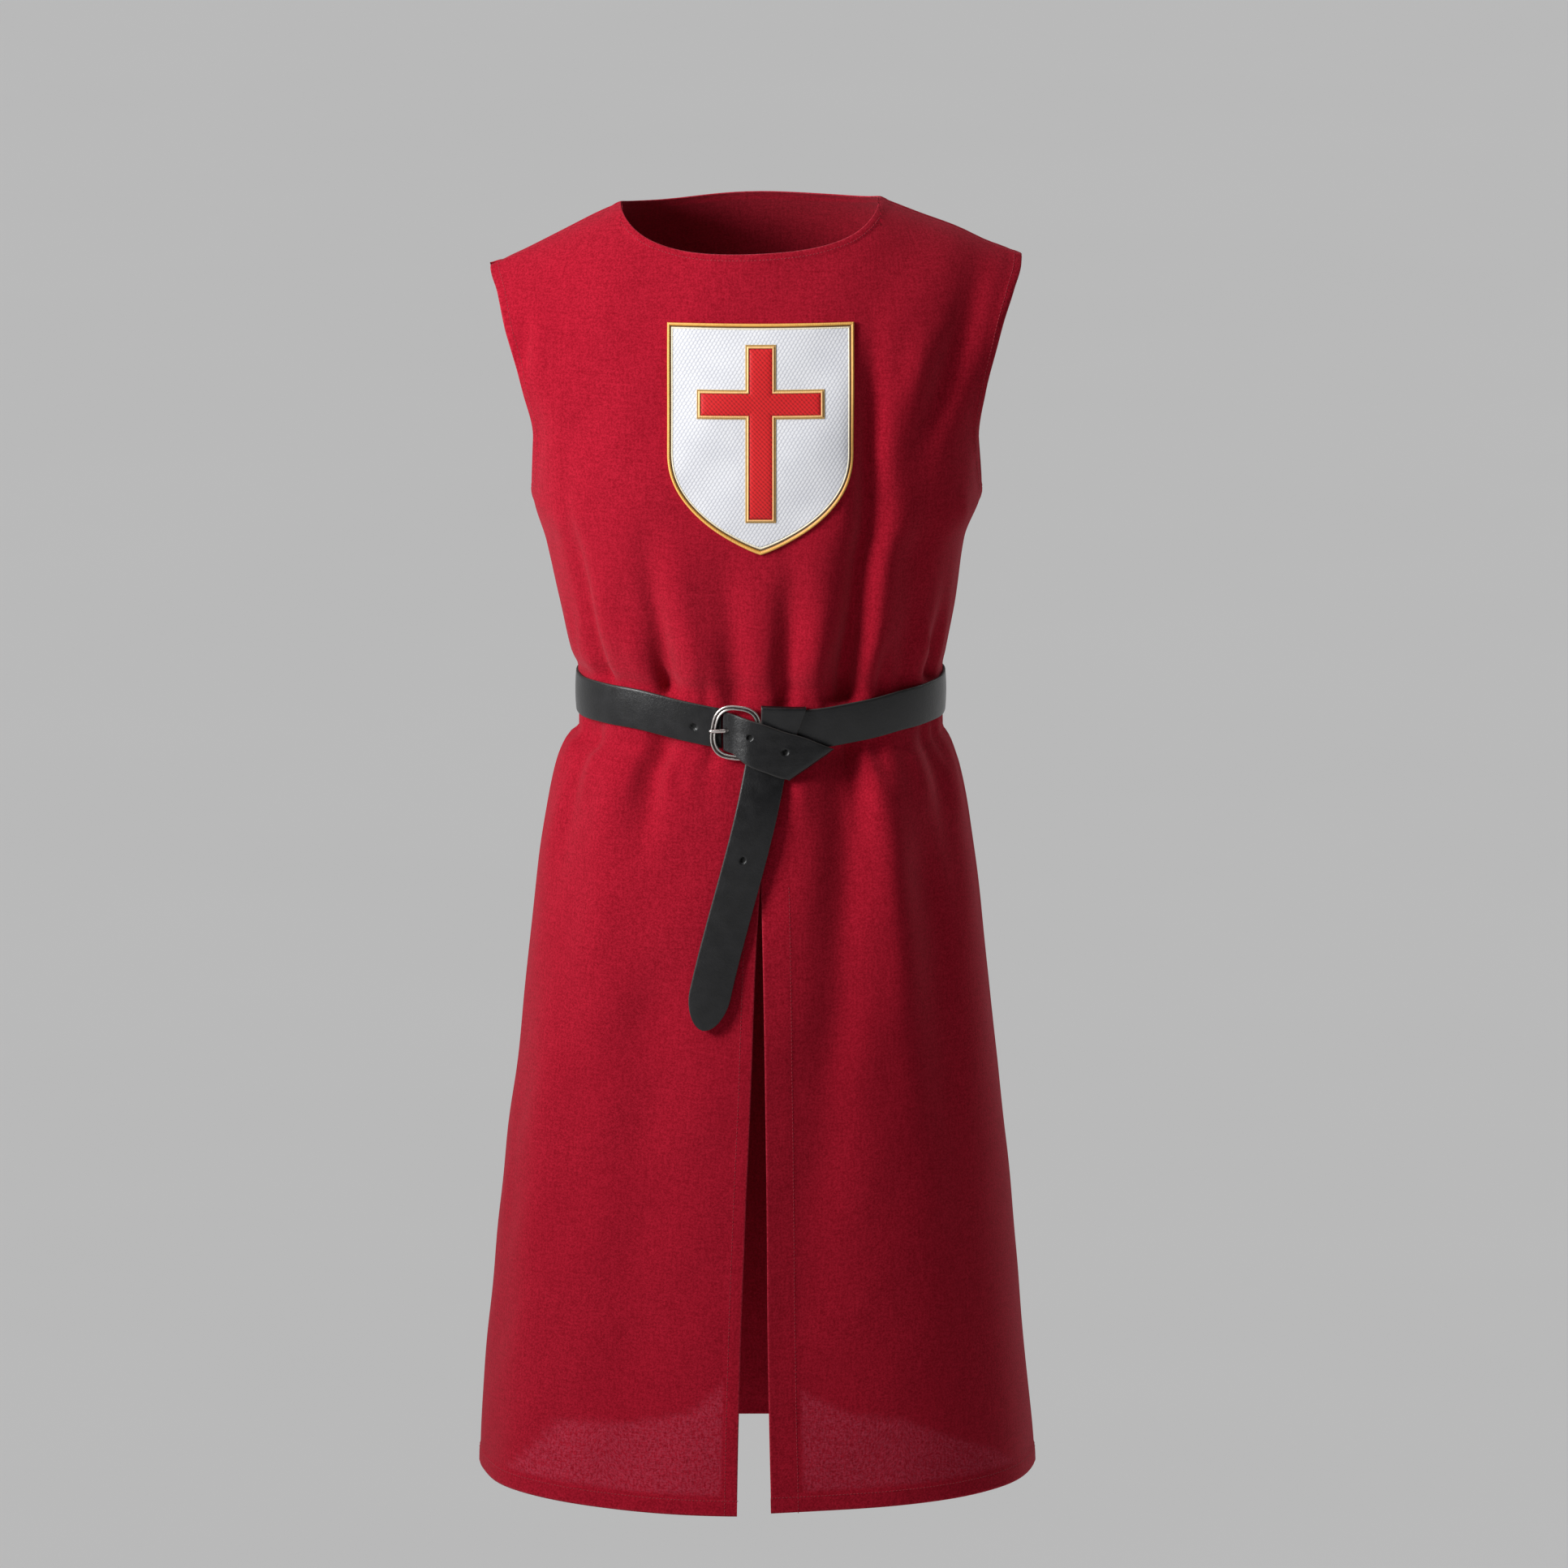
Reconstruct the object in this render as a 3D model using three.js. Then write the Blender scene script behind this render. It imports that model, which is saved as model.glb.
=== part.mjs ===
// A knight's sleeveless tabard, worn and belted, as a hollow garment with nobody in it.
// Units are millimetres, +Z is up, the front faces -Y, and the origin lies between the
// two neck points of the shoulder line, where the garment hangs from the wearer's shoulders.
import * as THREE from 'three';

// ---------------------------------------------------------------- driving dimensions

const CLOTH_WALL = 1.6;
const SEAM_GAP = 0.3;
const LAY_GAP = 0.35;

// Shoulder ridge: height = crest - slope * sqrt(x^2 + round^2), which gives a rounded slope.
const SHOULDER = { crest: 63.8, slope: 0.45, round: 80 };
const UNDERARM_LEVEL = -265;
const HEM_LEVEL = -1176;
const NECK = { left: -122, right: 111, frontDrop: 61.4, backDrop: 30, curve: 1.9, fullness: 0.72 };
const ARMHOLE = { reach: 0.5, roundness: 0.45 };

// Sections of the worn garment: half widths to the wearer's right and left sides of the centre
// line, depths in front of and behind the side seams, and how square the section is.
const SECTIONS = [
  { z: 30, left: 243, right: 239, front: 116, back: 106, square: 2.2 },
  { z: -54, left: 243, right: 239, front: 118, back: 110, square: 2.2 },
  { z: -80, left: 236, right: 232, front: 120, back: 112, square: 2.3 },
  { z: -107, left: 228.5, right: 223.5, front: 122, back: 114, square: 2.3 },
  { z: -136, left: 220.5, right: 216, front: 124, back: 115, square: 2.3 },
  { z: -171, left: 211, right: 207, front: 125, back: 115, square: 2.35 },
  { z: -213, left: 201, right: 200.5, front: 126, back: 114, square: 2.4 },
  { z: -265, left: 202, right: 203, front: 125, back: 112, square: 2.4 },
  { z: -311, left: 189, right: 187.5, front: 123, back: 109, square: 2.4 },
  { z: -371, left: 176, right: 179, front: 119, back: 105, square: 2.3 },
  { z: -415, left: 166, right: 171, front: 114, back: 101, square: 2.2 },
  { z: -430, left: 160, right: 168, front: 111, back: 99, square: 2.2 },
  { z: -487, left: 160, right: 168, front: 111, back: 99, square: 2.2 },
  { z: -500, left: 172, right: 174, front: 116, back: 103, square: 2.2 },
  { z: -523, left: 181, right: 183, front: 122, back: 109, square: 2.2 },
  { z: -568, left: 190, right: 191.5, front: 128, back: 117, square: 2.2 },
  { z: -659, left: 202, right: 203.5, front: 135, back: 126, square: 2.25 },
  { z: -780, left: 214, right: 216, front: 142, back: 136, square: 2.25 },
  { z: -902, left: 228, right: 228.5, front: 149, back: 144, square: 2.3 },
  { z: -1023, left: 240, right: 239, front: 156, back: 151, square: 2.3 },
  { z: -1144, left: 250.5, right: 250.5, front: 162, back: 157, square: 2.3 },
  { z: -1190, left: 252, right: 253, front: 164, back: 159, square: 2.3 },
];

// Soft folds. Angles run across a panel from -90 at one side seam to 90 at the other; a fold
// starts at `from` on angle `at` and fades out at `until` on angle `to`. Depth is outwards.
const FRONT_FOLDS = [
  { at: -70, to: -66, from: -430, until: -300, spread: 5, depth: -6 },
  { at: -46, to: -50, from: -430, until: -290, spread: 7, depth: 4 },
  { at: -32, to: -33, from: -430, until: -320, spread: 4.5, depth: -8 },
  { at: -16, to: -14, from: -430, until: -320, spread: 6, depth: 4 },
  { at: -7, to: -7, from: -430, until: -340, spread: 4, depth: -4 },
  { at: 8, to: 11, from: -430, until: -300, spread: 5.5, depth: 4 },
  { at: 20, to: 28, from: -430, until: -120, spread: 6, depth: -6 },
  { at: 32, to: 34, from: -430, until: -310, spread: 4.5, depth: 5 },
  { at: 50, to: 44, from: -430, until: -120, spread: 7, depth: -4 },
  { at: 70, to: 66, from: -430, until: -300, spread: 5, depth: -6 },
  { at: -66, to: -64, from: -487, until: -700, spread: 6, depth: -5 },
  { at: -45, to: -42, from: -487, until: -900, spread: 8, depth: 4 },
  { at: -31, to: -30, from: -487, until: -620, spread: 5, depth: -7 },
  { at: 20, to: 9, from: -487, until: -1180, spread: 7, depth: -7 },
  { at: 31, to: 30, from: -487, until: -860, spread: 5.5, depth: 6 },
  { at: 46, to: 42, from: -520, until: -1180, spread: 9, depth: -6 },
  { at: 66, to: 64, from: -487, until: -720, spread: 6, depth: -5 },
  { at: -24, to: -26, from: -640, until: -1400, spread: 10, depth: -5 },
  { at: -58, to: -56, from: -700, until: -1400, spread: 10, depth: 5 },
];
const BACK_FOLDS = [
  { at: -68, to: -64, from: -430, until: -300, spread: 6, depth: -5 },
  { at: -38, to: -34, from: -430, until: -220, spread: 7, depth: -6 },
  { at: -22, to: -22, from: -430, until: -300, spread: 6, depth: 4 },
  { at: -6, to: -9, from: -430, until: -270, spread: 6.5, depth: -6 },
  { at: 12, to: 12, from: -430, until: -310, spread: 6, depth: 5 },
  { at: 31, to: 36, from: -430, until: -190, spread: 7, depth: -6 },
  { at: 67, to: 64, from: -430, until: -300, spread: 6, depth: -5 },
  { at: -62, to: -58, from: -487, until: -800, spread: 8, depth: -6 },
  { at: -36, to: -30, from: -487, until: -1400, spread: 8, depth: 7 },
  { at: -14, to: -16, from: -487, until: -1100, spread: 8, depth: -7 },
  { at: 9, to: 8, from: -487, until: -1400, spread: 9, depth: 6 },
  { at: 34, to: 30, from: -487, until: -1400, spread: 8, depth: -8 },
  { at: 58, to: 56, from: -520, until: -1400, spread: 9, depth: 6 },
];
const FOLD_RISE = 30;

// Centre-front slit: it opens from its apex to the hem, a little more to one side.
const SLIT = { angle: 0.6, apex: -601, openLeft: 3.35, openRight: 1.25, fade: 42, growth: 0.7 };
const FRONT_HEM_DROP = { left: 9, right: 4 };

// Rows of the wall, as stretches with a number of steps each.
const TOP_STEPS = 14;
const LOWER_STRETCHES = [
  { until: -430, steps: 6 },
  { until: -487, steps: 2 },
  { until: -601, steps: 4 },
  { until: HEM_LEVEL, steps: 10 },
];
const FRONT_COLUMNS = { side: 11, middle: 8 };
const BACK_COLUMNS = { side: 7, middle: 4 };
const NECK_CROWDING = 1.6;

// Heater shield patch on the chest.
const SHIELD = { centre: 4, half: 84, top: -89, shoulder: -205, drop: 94, curve: 1.15, fullness: 0.45 };
const PATCH = { gap: 0.5, border: 5, ground: 1.3, cord: 2.4 };
const CROSS_LAYER = { cordWidth: 3.4, edge: 1.5, fill: 1, step: 12 };
const CROSS = { top: -110, bottom: -268.5, armTop: -149, armBottom: -174.5, half: 13.5, armHalf: 57 };

// Belt: a 37 mm strap, with its buckle in front and its loose end knotted and hanging.
const BELT = { width: 37, thick: 2.6, level: -453, frontDip: 13, dipPower: 5 };
const STRAP_ENDS = { left: -31, right: 9 };
const STRAP_TOP = LAY_GAP + BELT.thick;
const FOLD_STATIONS = [
  { x0: -30, z0: -446.5, x1: -29.5, z1: -483, lift: 3 },
  { x0: -24, z0: -448, x1: -24, z1: -485, lift: 4.2 },
  { x0: -17.5, z0: -449.5, x1: -18.5, z1: -486.5, lift: 8.4 },
  { x0: -8.5, z0: -452, x1: -13, z1: -493, lift: 9.8 },
  { x0: 8, z0: -457, x1: 2, z1: -500, lift: 10.2 },
  { x0: 24, z0: -463.5, x1: 13, z1: -504.5, lift: 10.6 },
  { x0: 46, z0: -472, x1: 21, z1: -507, lift: 10.4 },
  { x0: 67, z0: -482, x1: 28, z1: -508.5, lift: 9.4 },
];
const LOOP_STATIONS = [
  { x0: 4.4, z0: -444, x1: 44, z1: -445.5, lift: 6 },
  { x0: 4.4, z0: -458, x1: 39, z1: -461, lift: 6.2 },
  { x0: 4.4, z0: -474, x1: 33, z1: -476, lift: 6 },
  { x0: 4.4, z0: -490, x1: 28, z1: -490, lift: 6 },
];
const TAIL = { x: 9, z: -495, lean: 10, bend: 5, length: 248, point: 32, lift: 7 };
const TAIL_STEPS = 14;
const BUCKLE = { x: -19.3, z: -466, halfWidth: 20.1, halfHeight: 23.7, square: 2.7, tilt: -7 };
const BUCKLE_BAR = { wide: 4.2, thick: 2.6, lift: 4.75, steps: 36 };
const PRONG = { x0: -42, x1: -26.5, z: -464.6, wide: 2.8, thick: 1.9, lift0: 8.7, lift1: 6.2 };

const COLOURS = {
  red: { color: 0x9c1730, roughness: 0.85, metalness: 0 },
  white: { color: 0xe9ebee, roughness: 0.7, metalness: 0 },
  gold: { color: 0xd9a13e, roughness: 0.45, metalness: 0.2 },
  scarlet: { color: 0xcf1f1c, roughness: 0.6, metalness: 0 },
  leather: { color: 0x2b2a2c, roughness: 0.45, metalness: 0 },
  nickel: { color: 0x8d8884, roughness: 0.35, metalness: 1 },
};

// ---------------------------------------------------------------- small mathematics

const degrees = (angle) => (angle * Math.PI) / 180;
const mix = (a, b, t) => a + (b - a) * t;
const smooth = (t) => THREE.MathUtils.smoothstep(t, 0, 1);
const signedPower = (value, power) => Math.sign(value) * Math.abs(value) ** power;

/** Monotone cubic interpolation of one column of a table that is ordered by falling z. */
function columnCurve(rows, column) {
  const heights = rows.map((row) => -row.z);
  const values = rows.map((row) => row[column]);
  const slopes = [];
  for (let i = 0; i < rows.length - 1; i += 1) {
    slopes.push((values[i + 1] - values[i]) / (heights[i + 1] - heights[i]));
  }
  const tangents = values.map((value, i) => {
    const before = slopes[Math.max(i - 1, 0)];
    const after = slopes[Math.min(i, slopes.length - 1)];
    return before * after <= 0 ? 0 : (2 * before * after) / (before + after);
  });
  return (z) => {
    const height = THREE.MathUtils.clamp(-z, heights[0], heights[heights.length - 1]);
    const found = heights.findIndex((h) => h >= height);
    const i = Math.max(found - 1, 0);
    const step = heights[i + 1] - heights[i];
    const t = (height - heights[i]) / step;
    const a = (1 + 2 * t) * (1 - t) ** 2 * values[i] + t * (1 - t) ** 2 * step * tangents[i];
    const b = t * t * (3 - 2 * t) * values[i + 1] + t * t * (t - 1) * step * tangents[i + 1];
    return a + b;
  };
}

const section = {};
for (const column of ['left', 'right', 'front', 'back', 'square']) {
  section[column] = columnCurve(SECTIONS, column);
}

const shoulderHeight = (x) => SHOULDER.crest - SHOULDER.slope * Math.hypot(x, SHOULDER.round);
const sectionCentre = (z) => (section.right(z) - section.left(z)) / 2;
const sectionHalf = (z) => (section.right(z) + section.left(z)) / 2;

// ---------------------------------------------------------------- the worn form

/** How far below the shoulder ridge the neckline runs at x, or 0 beyond the neck points. */
function necklineDrop(x, drop) {
  const middle = (NECK.left + NECK.right) / 2;
  const reach = Math.abs(x - middle) / ((NECK.right - NECK.left) / 2);
  return reach >= 1 ? 0 : drop * (1 - reach ** NECK.curve) ** NECK.fullness;
}

/** Sum of the folds at an angle and a height. */
function foldDepth(folds, angle, z) {
  let depth = 0;
  for (const fold of folds) {
    const along = (z - fold.from) / (fold.until - fold.from);
    if (along <= 0 || along >= 1) continue;
    const distance = Math.abs(z - fold.from);
    const strength = smooth(Math.min(distance / FOLD_RISE, 1)) * (0.5 + 0.5 * Math.cos(Math.PI * along));
    const offset = (angle - mix(fold.at, fold.to, along)) / fold.spread;
    depth += fold.depth * strength * Math.exp(-offset * offset);
  }
  return depth;
}

/** A panel is the front (facing -1) or the back (facing 1) of the garment. */
const FRONT = { facing: -1, depth: section.front, folds: FRONT_FOLDS, neckDrop: NECK.frontDrop };
const BACK = { facing: 1, depth: section.back, folds: BACK_FOLDS, neckDrop: NECK.backDrop };

/**
 * Point of the smooth form. Angle runs from -90 to 90 between the side seams. Down runs from
 * 0 at the shoulder seam or neckline to 1 at underarm level; below that, z gives the level.
 * A section is a superellipse; between shoulder and underarm it is cut short at the armhole.
 */
function smoothPoint(panel, angle, down, z) {
  const theta = degrees(angle);
  const level = { turn: Math.PI / 2, edgeHeight: z, height: () => z };
  const { turn, edgeHeight, height } = down >= 1 ? level : topZone(panel, theta, down);
  const square = section.square(edgeHeight);
  const reach = signedPower(Math.sin(theta), 2 / square);
  const x = sectionCentre(edgeHeight) + sectionHalf(edgeHeight) * reach;
  const open = down >= 1 ? 0 : ARMHOLE.reach * Math.abs(Math.sin(2 * turn)) ** ARMHOLE.roundness;
  const bulge = Math.max(1 - Math.abs(reach) ** square * (1 - open ** square), 0) ** (1 / square);
  const y = panel.facing * panel.depth(height(x)) * Math.sin(turn) * bulge;
  return new THREE.Vector3(x, y, height(x));
}

/** Upper zone: a quarter turn leads from the shoulder ridge, or the neckline, to the underarm. */
function topZone(panel, theta, down) {
  const topX = sectionCentre(-54) + sectionHalf(-54) * signedPower(Math.sin(theta), 2 / section.square(-54));
  const topReach = shoulderHeight(topX) - UNDERARM_LEVEL;
  const start = Math.acos(1 - necklineDrop(topX, panel.neckDrop) / topReach);
  const turn = mix(start, Math.PI / 2, down);
  const fall = 1 - Math.cos(turn);
  const height = (x) => mix(shoulderHeight(x), UNDERARM_LEVEL, fall);
  return { turn, height, edgeHeight: height(sectionHalf(-54)) };
}

/** Outward normal of the smooth form, from differences that stay on the panel. */
function smoothNormal(panel, angle, down, z) {
  const right = smoothPoint(panel, Math.min(angle + 0.2, 90), down, z);
  const across = right.sub(smoothPoint(panel, Math.max(angle - 0.2, -90), down, z));
  const lower = down < 1 ? [down + 0.004, z] : [down, z - 1];
  const upper = down < 1 ? [down - 0.004, z] : [down, z + 1];
  const along = smoothPoint(panel, angle, ...lower).sub(smoothPoint(panel, angle, ...upper));
  const normal = panel.facing < 0 ? along.cross(across) : across.cross(along);
  return normal.normalize();
}

/** Point and normal of the cloth, with its folds and a gap to the seams. */
function clothPoint(panel, angle, down, z) {
  const point = smoothPoint(panel, angle, down, z);
  const normal = smoothNormal(panel, angle, down, z);
  if (Math.abs(point.y) < 0.01) normal.setY(0).normalize();
  point.addScaledVector(normal, foldDepth(panel.folds, angle, point.z));
  if (Math.abs(point.y) < SEAM_GAP / 2) point.y = (panel.facing * SEAM_GAP) / 2;
  return { point, normal };
}

// ---------------------------------------------------------------- walls and bodies

/**
 * Closed wall. Each sample holds an outer point and an inner one, each face lists four
 * samples anticlockwise as seen from outside, and open edges get a rim.
 */
function wallGeometry(samples, faces) {
  const positions = [];
  for (const sample of samples) positions.push(...sample.outer.toArray());
  for (const sample of samples) positions.push(...sample.inner.toArray());
  const count = samples.length;
  const index = [];
  const edges = new Map();
  for (const [a, b, c, d] of faces) {
    index.push(a, b, c, a, c, d);
    index.push(a + count, c + count, b + count, a + count, d + count, c + count);
    for (const [from, to] of [[a, b], [b, c], [c, d], [d, a]]) edges.set(`${from},${to}`, [from, to]);
  }
  for (const [from, to] of edges.values()) {
    if (edges.has(`${to},${from}`)) continue;
    index.push(to, from, from + count, to, from + count, to + count);
  }
  const geometry = new THREE.BufferGeometry();
  geometry.setAttribute('position', new THREE.Float32BufferAttribute(positions, 3));
  geometry.setIndex(index);
  geometry.computeVertexNormals();
  return geometry;
}

/** Faces of a grid whose sample numbers come from a function of row and column. */
function gridFaces(rows, columns, number, reversed) {
  const faces = [];
  for (let row = 0; row < rows; row += 1) {
    for (let column = 0; column < columns; column += 1) {
      const face = [
        number(row, column, 1),
        number(row + 1, column, 1),
        number(row + 1, column + 1, -1),
        number(row, column + 1, -1),
      ];
      faces.push(reversed ? face.reverse() : face);
    }
  }
  return faces;
}

const moved = (point, direction, distance) => point.clone().addScaledVector(direction, distance);

/** Angles of the columns: one at each neck point, closer together there, and one at the slit. */
function columnAngles({ side, middle }) {
  const half = sectionHalf(-54);
  const power = section.square(-54) / 2;
  const neckAngle = (x) => {
    const reach = (x - sectionCentre(-54)) / half;
    return THREE.MathUtils.radToDeg(Math.asin(signedPower(reach, power)));
  };
  const stops = [-90, neckAngle(NECK.left), SLIT.angle, neckAngle(NECK.right), 90];
  const even = (t) => t;
  const parts = [
    { count: side, place: even },
    { count: middle, place: (t) => t ** NECK_CROWDING },
    { count: middle, place: (t) => 1 - (1 - t) ** NECK_CROWDING },
    { count: side, place: even },
  ];
  const angles = [stops[0]];
  parts.forEach(({ count, place }, part) => {
    for (let i = 1; i <= count; i += 1) angles.push(mix(stops[part], stops[part + 1], place(i / count)));
  });
  return angles;
}

/** Rows of a panel: down runs over the top zone, then level rows reach to the hem. */
function panelRows() {
  const rows = [];
  for (let i = 0; i < TOP_STEPS; i += 1) rows.push({ down: i / TOP_STEPS, z: UNDERARM_LEVEL });
  let from = UNDERARM_LEVEL;
  for (const { until, steps } of LOWER_STRETCHES) {
    for (let i = 0; i < steps; i += 1) rows.push({ down: 1, z: mix(from, until, i / steps) });
    from = until;
  }
  rows.push({ down: 1, z: HEM_LEVEL });
  return rows;
}

/** Angle shift that opens the slit; `side` is -1 to its left and 1 to its right. */
function slitShift(angle, z, side) {
  if (z >= SLIT.apex) return 0;
  const opened = ((SLIT.apex - z) / (SLIT.apex - HEM_LEVEL)) ** SLIT.growth;
  const widest = side < 0 ? SLIT.openLeft : SLIT.openRight;
  const near = Math.max(1 - Math.abs(angle - SLIT.angle) / SLIT.fade, 0);
  return side * widest * opened * near;
}

/** How much lower the front hangs than the side seams, growing from the belt to the hem. */
function hemDrop(angle, z) {
  const grown = THREE.MathUtils.clamp((z - SLIT.apex) / (HEM_LEVEL - SLIT.apex), 0, 1);
  const most = angle < SLIT.angle ? FRONT_HEM_DROP.left : FRONT_HEM_DROP.right;
  return most * grown * Math.cos(degrees(angle)) ** 2;
}

/** Samples and faces of one cloth panel; only the front has the slit. */
function buildPanel(panel, columns) {
  const angles = columnAngles(columns);
  const rows = panelRows();
  const slitColumn = columns.side + columns.middle;
  const isFront = panel === FRONT;
  const samples = [];
  const numbers = new Map();
  rows.forEach(({ down, z }, row) => {
    angles.forEach((angle, column) => {
      const open = isFront && column === slitColumn && z < SLIT.apex;
      for (const side of open ? [-1, 1] : [0]) {
        const lean = side || Math.sign(column - slitColumn);
        const shifted = isFront ? angle + slitShift(angle, z, lean) : angle;
        const level = isFront ? z - hemDrop(angle, z) : z;
        const { point, normal } = clothPoint(panel, shifted, down, level);
        numbers.set(`${row},${column},${side}`, samples.length);
        samples.push({ outer: point, inner: moved(point, normal, -CLOTH_WALL), normal });
      }
    });
  });
  const number = (row, column, side) => {
    const key = `${row},${column},`;
    return numbers.get(key + side) ?? numbers.get(`${key}0`);
  };
  const faces = gridFaces(rows.length - 1, angles.length - 1, number, !isFront);
  return { samples, faces, angles };
}

const frontPanel = buildPanel(FRONT, FRONT_COLUMNS);
const backPanel = buildPanel(BACK, BACK_COLUMNS);

/** Drops (x, z) onto the facets of the front and moves the point out by a lift. */
function layOnFront(x, z, lift) {
  for (const [a, b, c, d] of frontPanel.faces) {
    for (const corners of [[a, b, c], [a, c, d]]) {
      const [p, q, r] = corners.map((i) => frontPanel.samples[i]);
      const area = (q.outer.x - p.outer.x) * (r.outer.z - p.outer.z)
        - (r.outer.x - p.outer.x) * (q.outer.z - p.outer.z);
      const v = ((x - p.outer.x) * (r.outer.z - p.outer.z)
        - (r.outer.x - p.outer.x) * (z - p.outer.z)) / area;
      const w = ((q.outer.x - p.outer.x) * (z - p.outer.z)
        - (x - p.outer.x) * (q.outer.z - p.outer.z)) / area;
      if (v < -1e-6 || w < -1e-6 || v + w > 1 + 1e-6) continue;
      const y = p.outer.y + v * (q.outer.y - p.outer.y) + w * (r.outer.y - p.outer.y);
      const normal = p.normal.clone().multiplyScalar(1 - v - w);
      normal.addScaledVector(q.normal, v).addScaledVector(r.normal, w).normalize();
      return new THREE.Vector3(x, y, z).addScaledVector(normal, lift);
    }
  }
  throw new Error(`nothing to lie on at ${x}, ${z}`);
}

// ---------------------------------------------------------------- shield patch

/** Outline of the heater shield, inset by a margin: straight sides, then two curves to a point. */
function shieldOutline(margin) {
  const half = SHIELD.half - margin;
  const top = SHIELD.top - margin;
  const drop = SHIELD.drop - 1.35 * margin;
  const fall = (a) => Math.max(1 - Math.abs(a) ** SHIELD.curve, 0) ** SHIELD.fullness;
  const bottomAt = (a) => SHIELD.shoulder - drop * fall(a);
  return { half, top, bottomAt };
}

/** Ground of the shield: columns run from the top edge to the curved lower edge. */
function shieldGround() {
  const { half, top, bottomAt } = shieldOutline(PATCH.border + SEAM_GAP);
  const columns = 18;
  const rows = 20;
  const samples = [];
  for (let row = 0; row <= rows; row += 1) {
    for (let column = 0; column <= columns; column += 1) {
      const a = Math.sin(degrees(mix(-90, 90, column / columns)));
      const x = SHIELD.centre + half * a;
      const z = mix(top, bottomAt(a), row / rows);
      samples.push(layer(x, z, PATCH.gap, PATCH.ground));
    }
  }
  return wallGeometry(samples, gridFaces(rows, columns, (r, c) => r * (columns + 1) + c, false));
}

/** A sample that lies on the front between two lifts. */
function layer(x, z, lift, thick) {
  return { outer: layOnFront(x, z, lift + thick), inner: layOnFront(x, z, lift) };
}

/** Band between two closed outlines with the same number of points. */
function bandGeometry(outerLoop, innerLoop, lift, thick) {
  const loops = [...outerLoop, ...innerLoop];
  const samples = loops.map(([x, z]) => layer(x, z, lift, thick));
  const count = outerLoop.length;
  const faces = outerLoop.map((_, i) => {
    const next = (i + 1) % count;
    return [i, next, next + count, i + count];
  });
  return wallGeometry(samples, faces);
}

/** Points round the shield, anticlockwise from its upper left corner as seen from the front. */
function shieldLoop(margin) {
  const { half, top, bottomAt } = shieldOutline(margin);
  const points = [];
  for (let i = 0; i < 12; i += 1) points.push([SHIELD.centre - half, mix(top, SHIELD.shoulder, i / 12)]);
  for (let i = 0; i <= 24; i += 1) {
    const a = Math.sin(degrees(mix(-90, 90, i / 24)));
    points.push([SHIELD.centre + half * a, bottomAt(a)]);
  }
  for (let i = 1; i <= 12; i += 1) points.push([SHIELD.centre + half, mix(SHIELD.shoulder, top, i / 12)]);
  for (let i = 1; i < 16; i += 1) points.push([SHIELD.centre + mix(half, -half, i / 16), top]);
  return points;
}

/** Corners of the cross with its arms grown by a margin, anticlockwise from the front. */
function crossCorners(margin) {
  const { top, bottom, armTop, armBottom, half, armHalf } = CROSS;
  const stem = half + margin;
  const arm = armHalf + margin;
  const heights = [top + margin, armTop + margin, armBottom - margin, bottom - margin];
  return [
    [-stem, heights[0]], [-stem, heights[1]], [-arm, heights[1]], [-arm, heights[2]],
    [-stem, heights[2]], [-stem, heights[3]], [stem, heights[3]], [stem, heights[2]],
    [arm, heights[2]], [arm, heights[1]], [stem, heights[1]], [stem, heights[0]],
  ];
}

/** The cross outline with each edge split into the same steps for any margin. */
function crossLoop(margin) {
  const corners = crossCorners(margin);
  const plain = crossCorners(0);
  const points = [];
  corners.forEach(([x, z], i) => {
    const following = (i + 1) % corners.length;
    const next = corners[following];
    const length = Math.hypot(plain[following][0] - plain[i][0], plain[following][1] - plain[i][1]);
    const steps = Math.max(Math.round(length / CROSS_LAYER.step), 1);
    for (let k = 0; k < steps; k += 1) {
      points.push([SHIELD.centre + mix(x, next[0], k / steps), mix(z, next[1], k / steps)]);
    }
  });
  return points;
}

/** Fill of the cross: the cells of a grid that lie on the stem or on the arms. */
function crossFill(lift) {
  const inset = CROSS_LAYER.cordWidth + SEAM_GAP;
  const stem = CROSS.half - inset;
  const arm = CROSS.armHalf - inset;
  const armTop = CROSS.armTop - inset;
  const armBottom = CROSS.armBottom + inset;
  const split = (from, to, steps) => Array.from({ length: steps }, (_, i) => mix(from, to, i / steps));
  const xs = [...split(-arm, -stem, 3), ...split(-stem, stem, 2), ...split(stem, arm, 3), arm];
  const zs = [
    ...split(CROSS.top - inset, armTop, 3),
    ...split(armTop, armBottom, 2),
    ...split(armBottom, CROSS.bottom + inset, 7),
    CROSS.bottom + inset,
  ];
  const numbers = new Map();
  const samples = [];
  const number = (row, column) => {
    const key = `${row},${column}`;
    if (!numbers.has(key)) {
      numbers.set(key, samples.length);
      samples.push(layer(SHIELD.centre + xs[column], zs[row], lift, CROSS_LAYER.fill));
    }
    return numbers.get(key);
  };
  const faces = [];
  for (let row = 0; row < zs.length - 1; row += 1) {
    for (let column = 0; column < xs.length - 1; column += 1) {
      const onStem = column >= 3 && column < 5;
      const onArms = row >= 3 && row < 5;
      if (!onStem && !onArms) continue;
      faces.push([
        number(row, column),
        number(row + 1, column),
        number(row + 1, column + 1),
        number(row, column + 1),
      ]);
    }
  }
  return wallGeometry(samples, faces);
}

// ---------------------------------------------------------------- belt

/** Point of the smooth front at x and z, moved out by a lift. */
function overFront(x, z, lift) {
  const reach = (x - sectionCentre(z)) / sectionHalf(z);
  const angle = THREE.MathUtils.radToDeg(Math.asin(signedPower(reach, section.square(z) / 2)));
  return moved(smoothPoint(FRONT, angle, 1, z), smoothNormal(FRONT, angle, 1, z), lift);
}

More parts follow.
